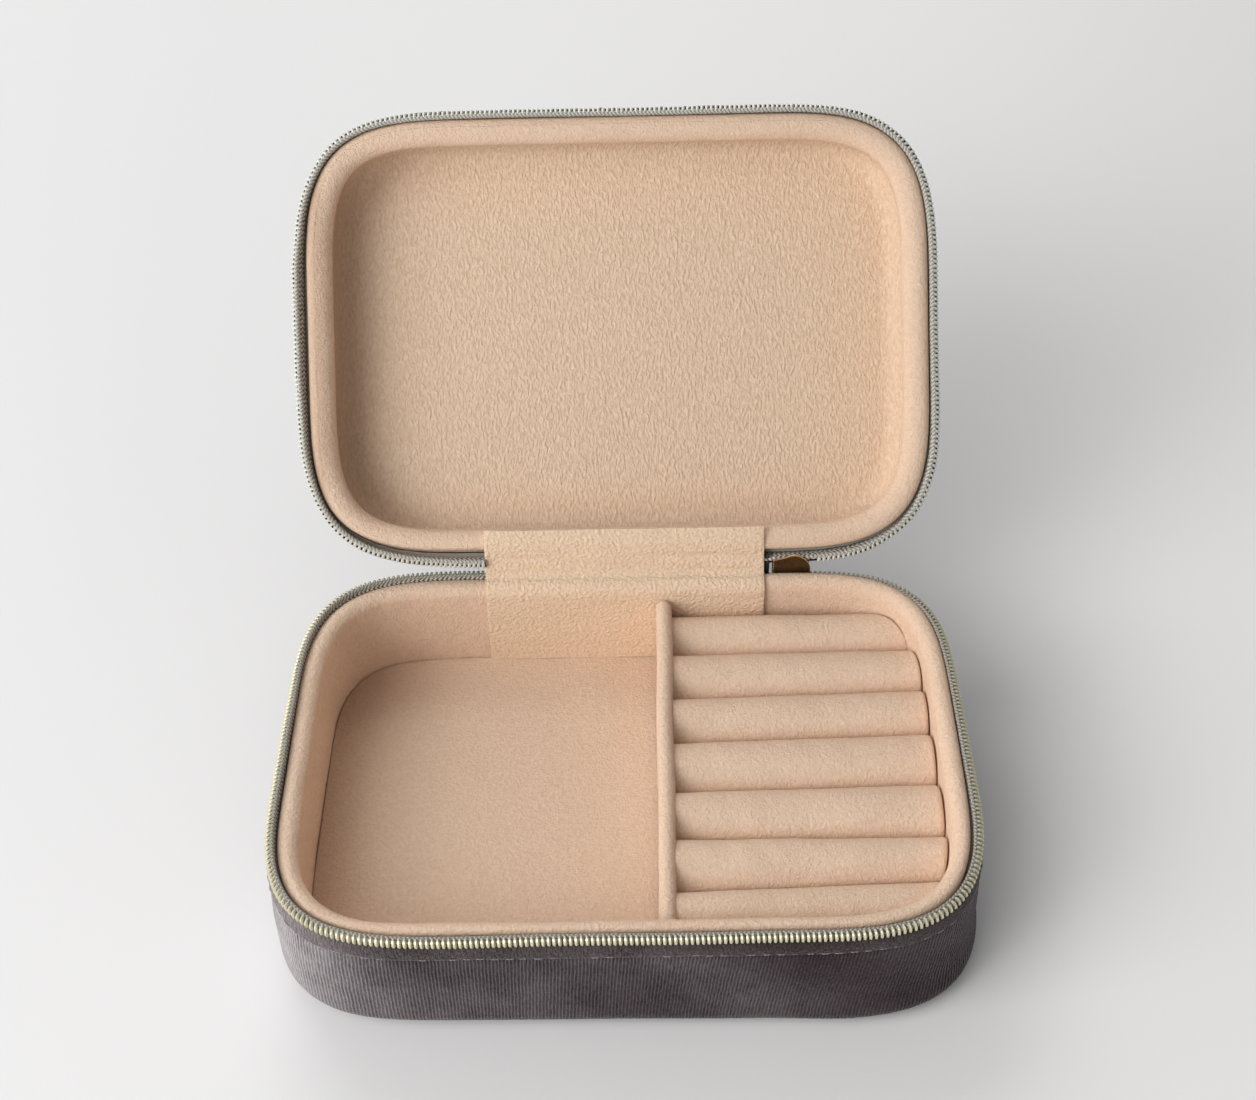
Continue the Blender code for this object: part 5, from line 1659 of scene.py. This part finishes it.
# %% Glow of the room
SKY_SLOPE, SKY_LEVEL = -0.09, 0.325
world = bpy.data.worlds.new("studio")
bpy.context.scene.world = world
world.use_nodes = True
world.node_tree.nodes["Background"].inputs["Color"].default_value = linear("#FFFFFF")
sky_place = add_node(world.node_tree, "ShaderNodeTexCoord").outputs["Generated"]
sky_side = add_node(world.node_tree, "ShaderNodeSeparateXYZ", {0: sky_place})
sky = add_node(
    world.node_tree,
    "ShaderNodeMath",
    {0: sky_side.outputs[0], 1: SKY_SLOPE, 2: SKY_LEVEL},
    operation="MULTIPLY_ADD",
)
world.node_tree.links.new(sky.outputs[0], world.node_tree.nodes["Background"].inputs["Strength"])
print("glow at the left and right:", round(SKY_LEVEL - SKY_SLOPE, 3), round(SKY_LEVEL + SKY_SLOPE, 3))

# %% Windows
LIGHT_TARGET = np.array([0, 0.03, 0.03])
LIGHT_DISTANCE, LIGHT_SIZE = 1.1, 0.7
# turn round the box from its right side and height over the table, in degrees, and power in watts
WINDOWS = {
    "left_window": (210, 22, 5.25),
    "left_window_top": (215, 42, 2.85),
    "left_window_end": (235, 30, 2.75),
    "back_window": (110, 42, 4.35),
}


def add_window(name, turn, height, power):
    """A square soft light: its turn round the box and its height in degrees, facing the box from afar."""
    light = bpy.data.lights.new(name, "AREA")
    light.shape = "SQUARE"
    light.size = LIGHT_SIZE
    light.energy = power
    turn, height = math.radians(turn), math.radians(height)
    back = np.array([math.cos(turn) * math.cos(height), math.sin(turn) * math.cos(height), math.sin(height)])
    right = np.array([-math.sin(turn), math.cos(turn), 0])
    axes = np.stack([right, np.cross(back, right), back, LIGHT_TARGET + back * LIGHT_DISTANCE], -1)
    lamp = bpy.data.objects.new(name, light)
    lamp.matrix_world = Matrix([*axes.tolist(), (0, 0, 0, 1)])
    bpy.context.scene.collection.objects.link(lamp)


for name, (turn, height, power) in WINDOWS.items():
    add_window(name, turn, height, power)
print(len(WINDOWS), "windows set")

# %% [markdown]
# ## Camera
# The view looks down at 43 degrees from 0.5 m away, turned and rolled by about a degree. Its three axes are
# written from those angles, so the picture has the same frame as the photograph.

# %% Camera
PITCH, YAW, ROLL = math.radians(43.369), math.radians(-0.709), math.radians(-1.537)
CAMERA_PLACE = (0.005988, -0.298787, 0.376195)
FOCAL_LENGTH = 54.857
forward = np.array([math.sin(YAW) * math.cos(PITCH), math.cos(YAW) * math.cos(PITCH), -math.sin(PITCH)])
level = np.array([math.cos(YAW), -math.sin(YAW), 0.0])
over = np.cross(level, forward)
rolled_right = level * math.cos(ROLL) + over * math.sin(ROLL)
rolled_up = over * math.cos(ROLL) - level * math.sin(ROLL)
camera_data = bpy.data.cameras.new("camera")
camera_data.lens = FOCAL_LENGTH
camera_data.sensor_width = 36
camera_data.clip_start = 0.01
camera = bpy.data.objects.new("camera", camera_data)
columns = np.stack([rolled_right, rolled_up, -forward], -1).tolist()
camera.matrix_world = Matrix([(*c, p) for c, p in zip(columns, CAMERA_PLACE)] + [(0, 0, 0, 1)])
bpy.context.scene.collection.objects.link(camera)
bpy.context.scene.camera = camera
bpy.context.scene.view_settings.view_transform = "Standard"
print("camera at", CAMERA_PLACE)
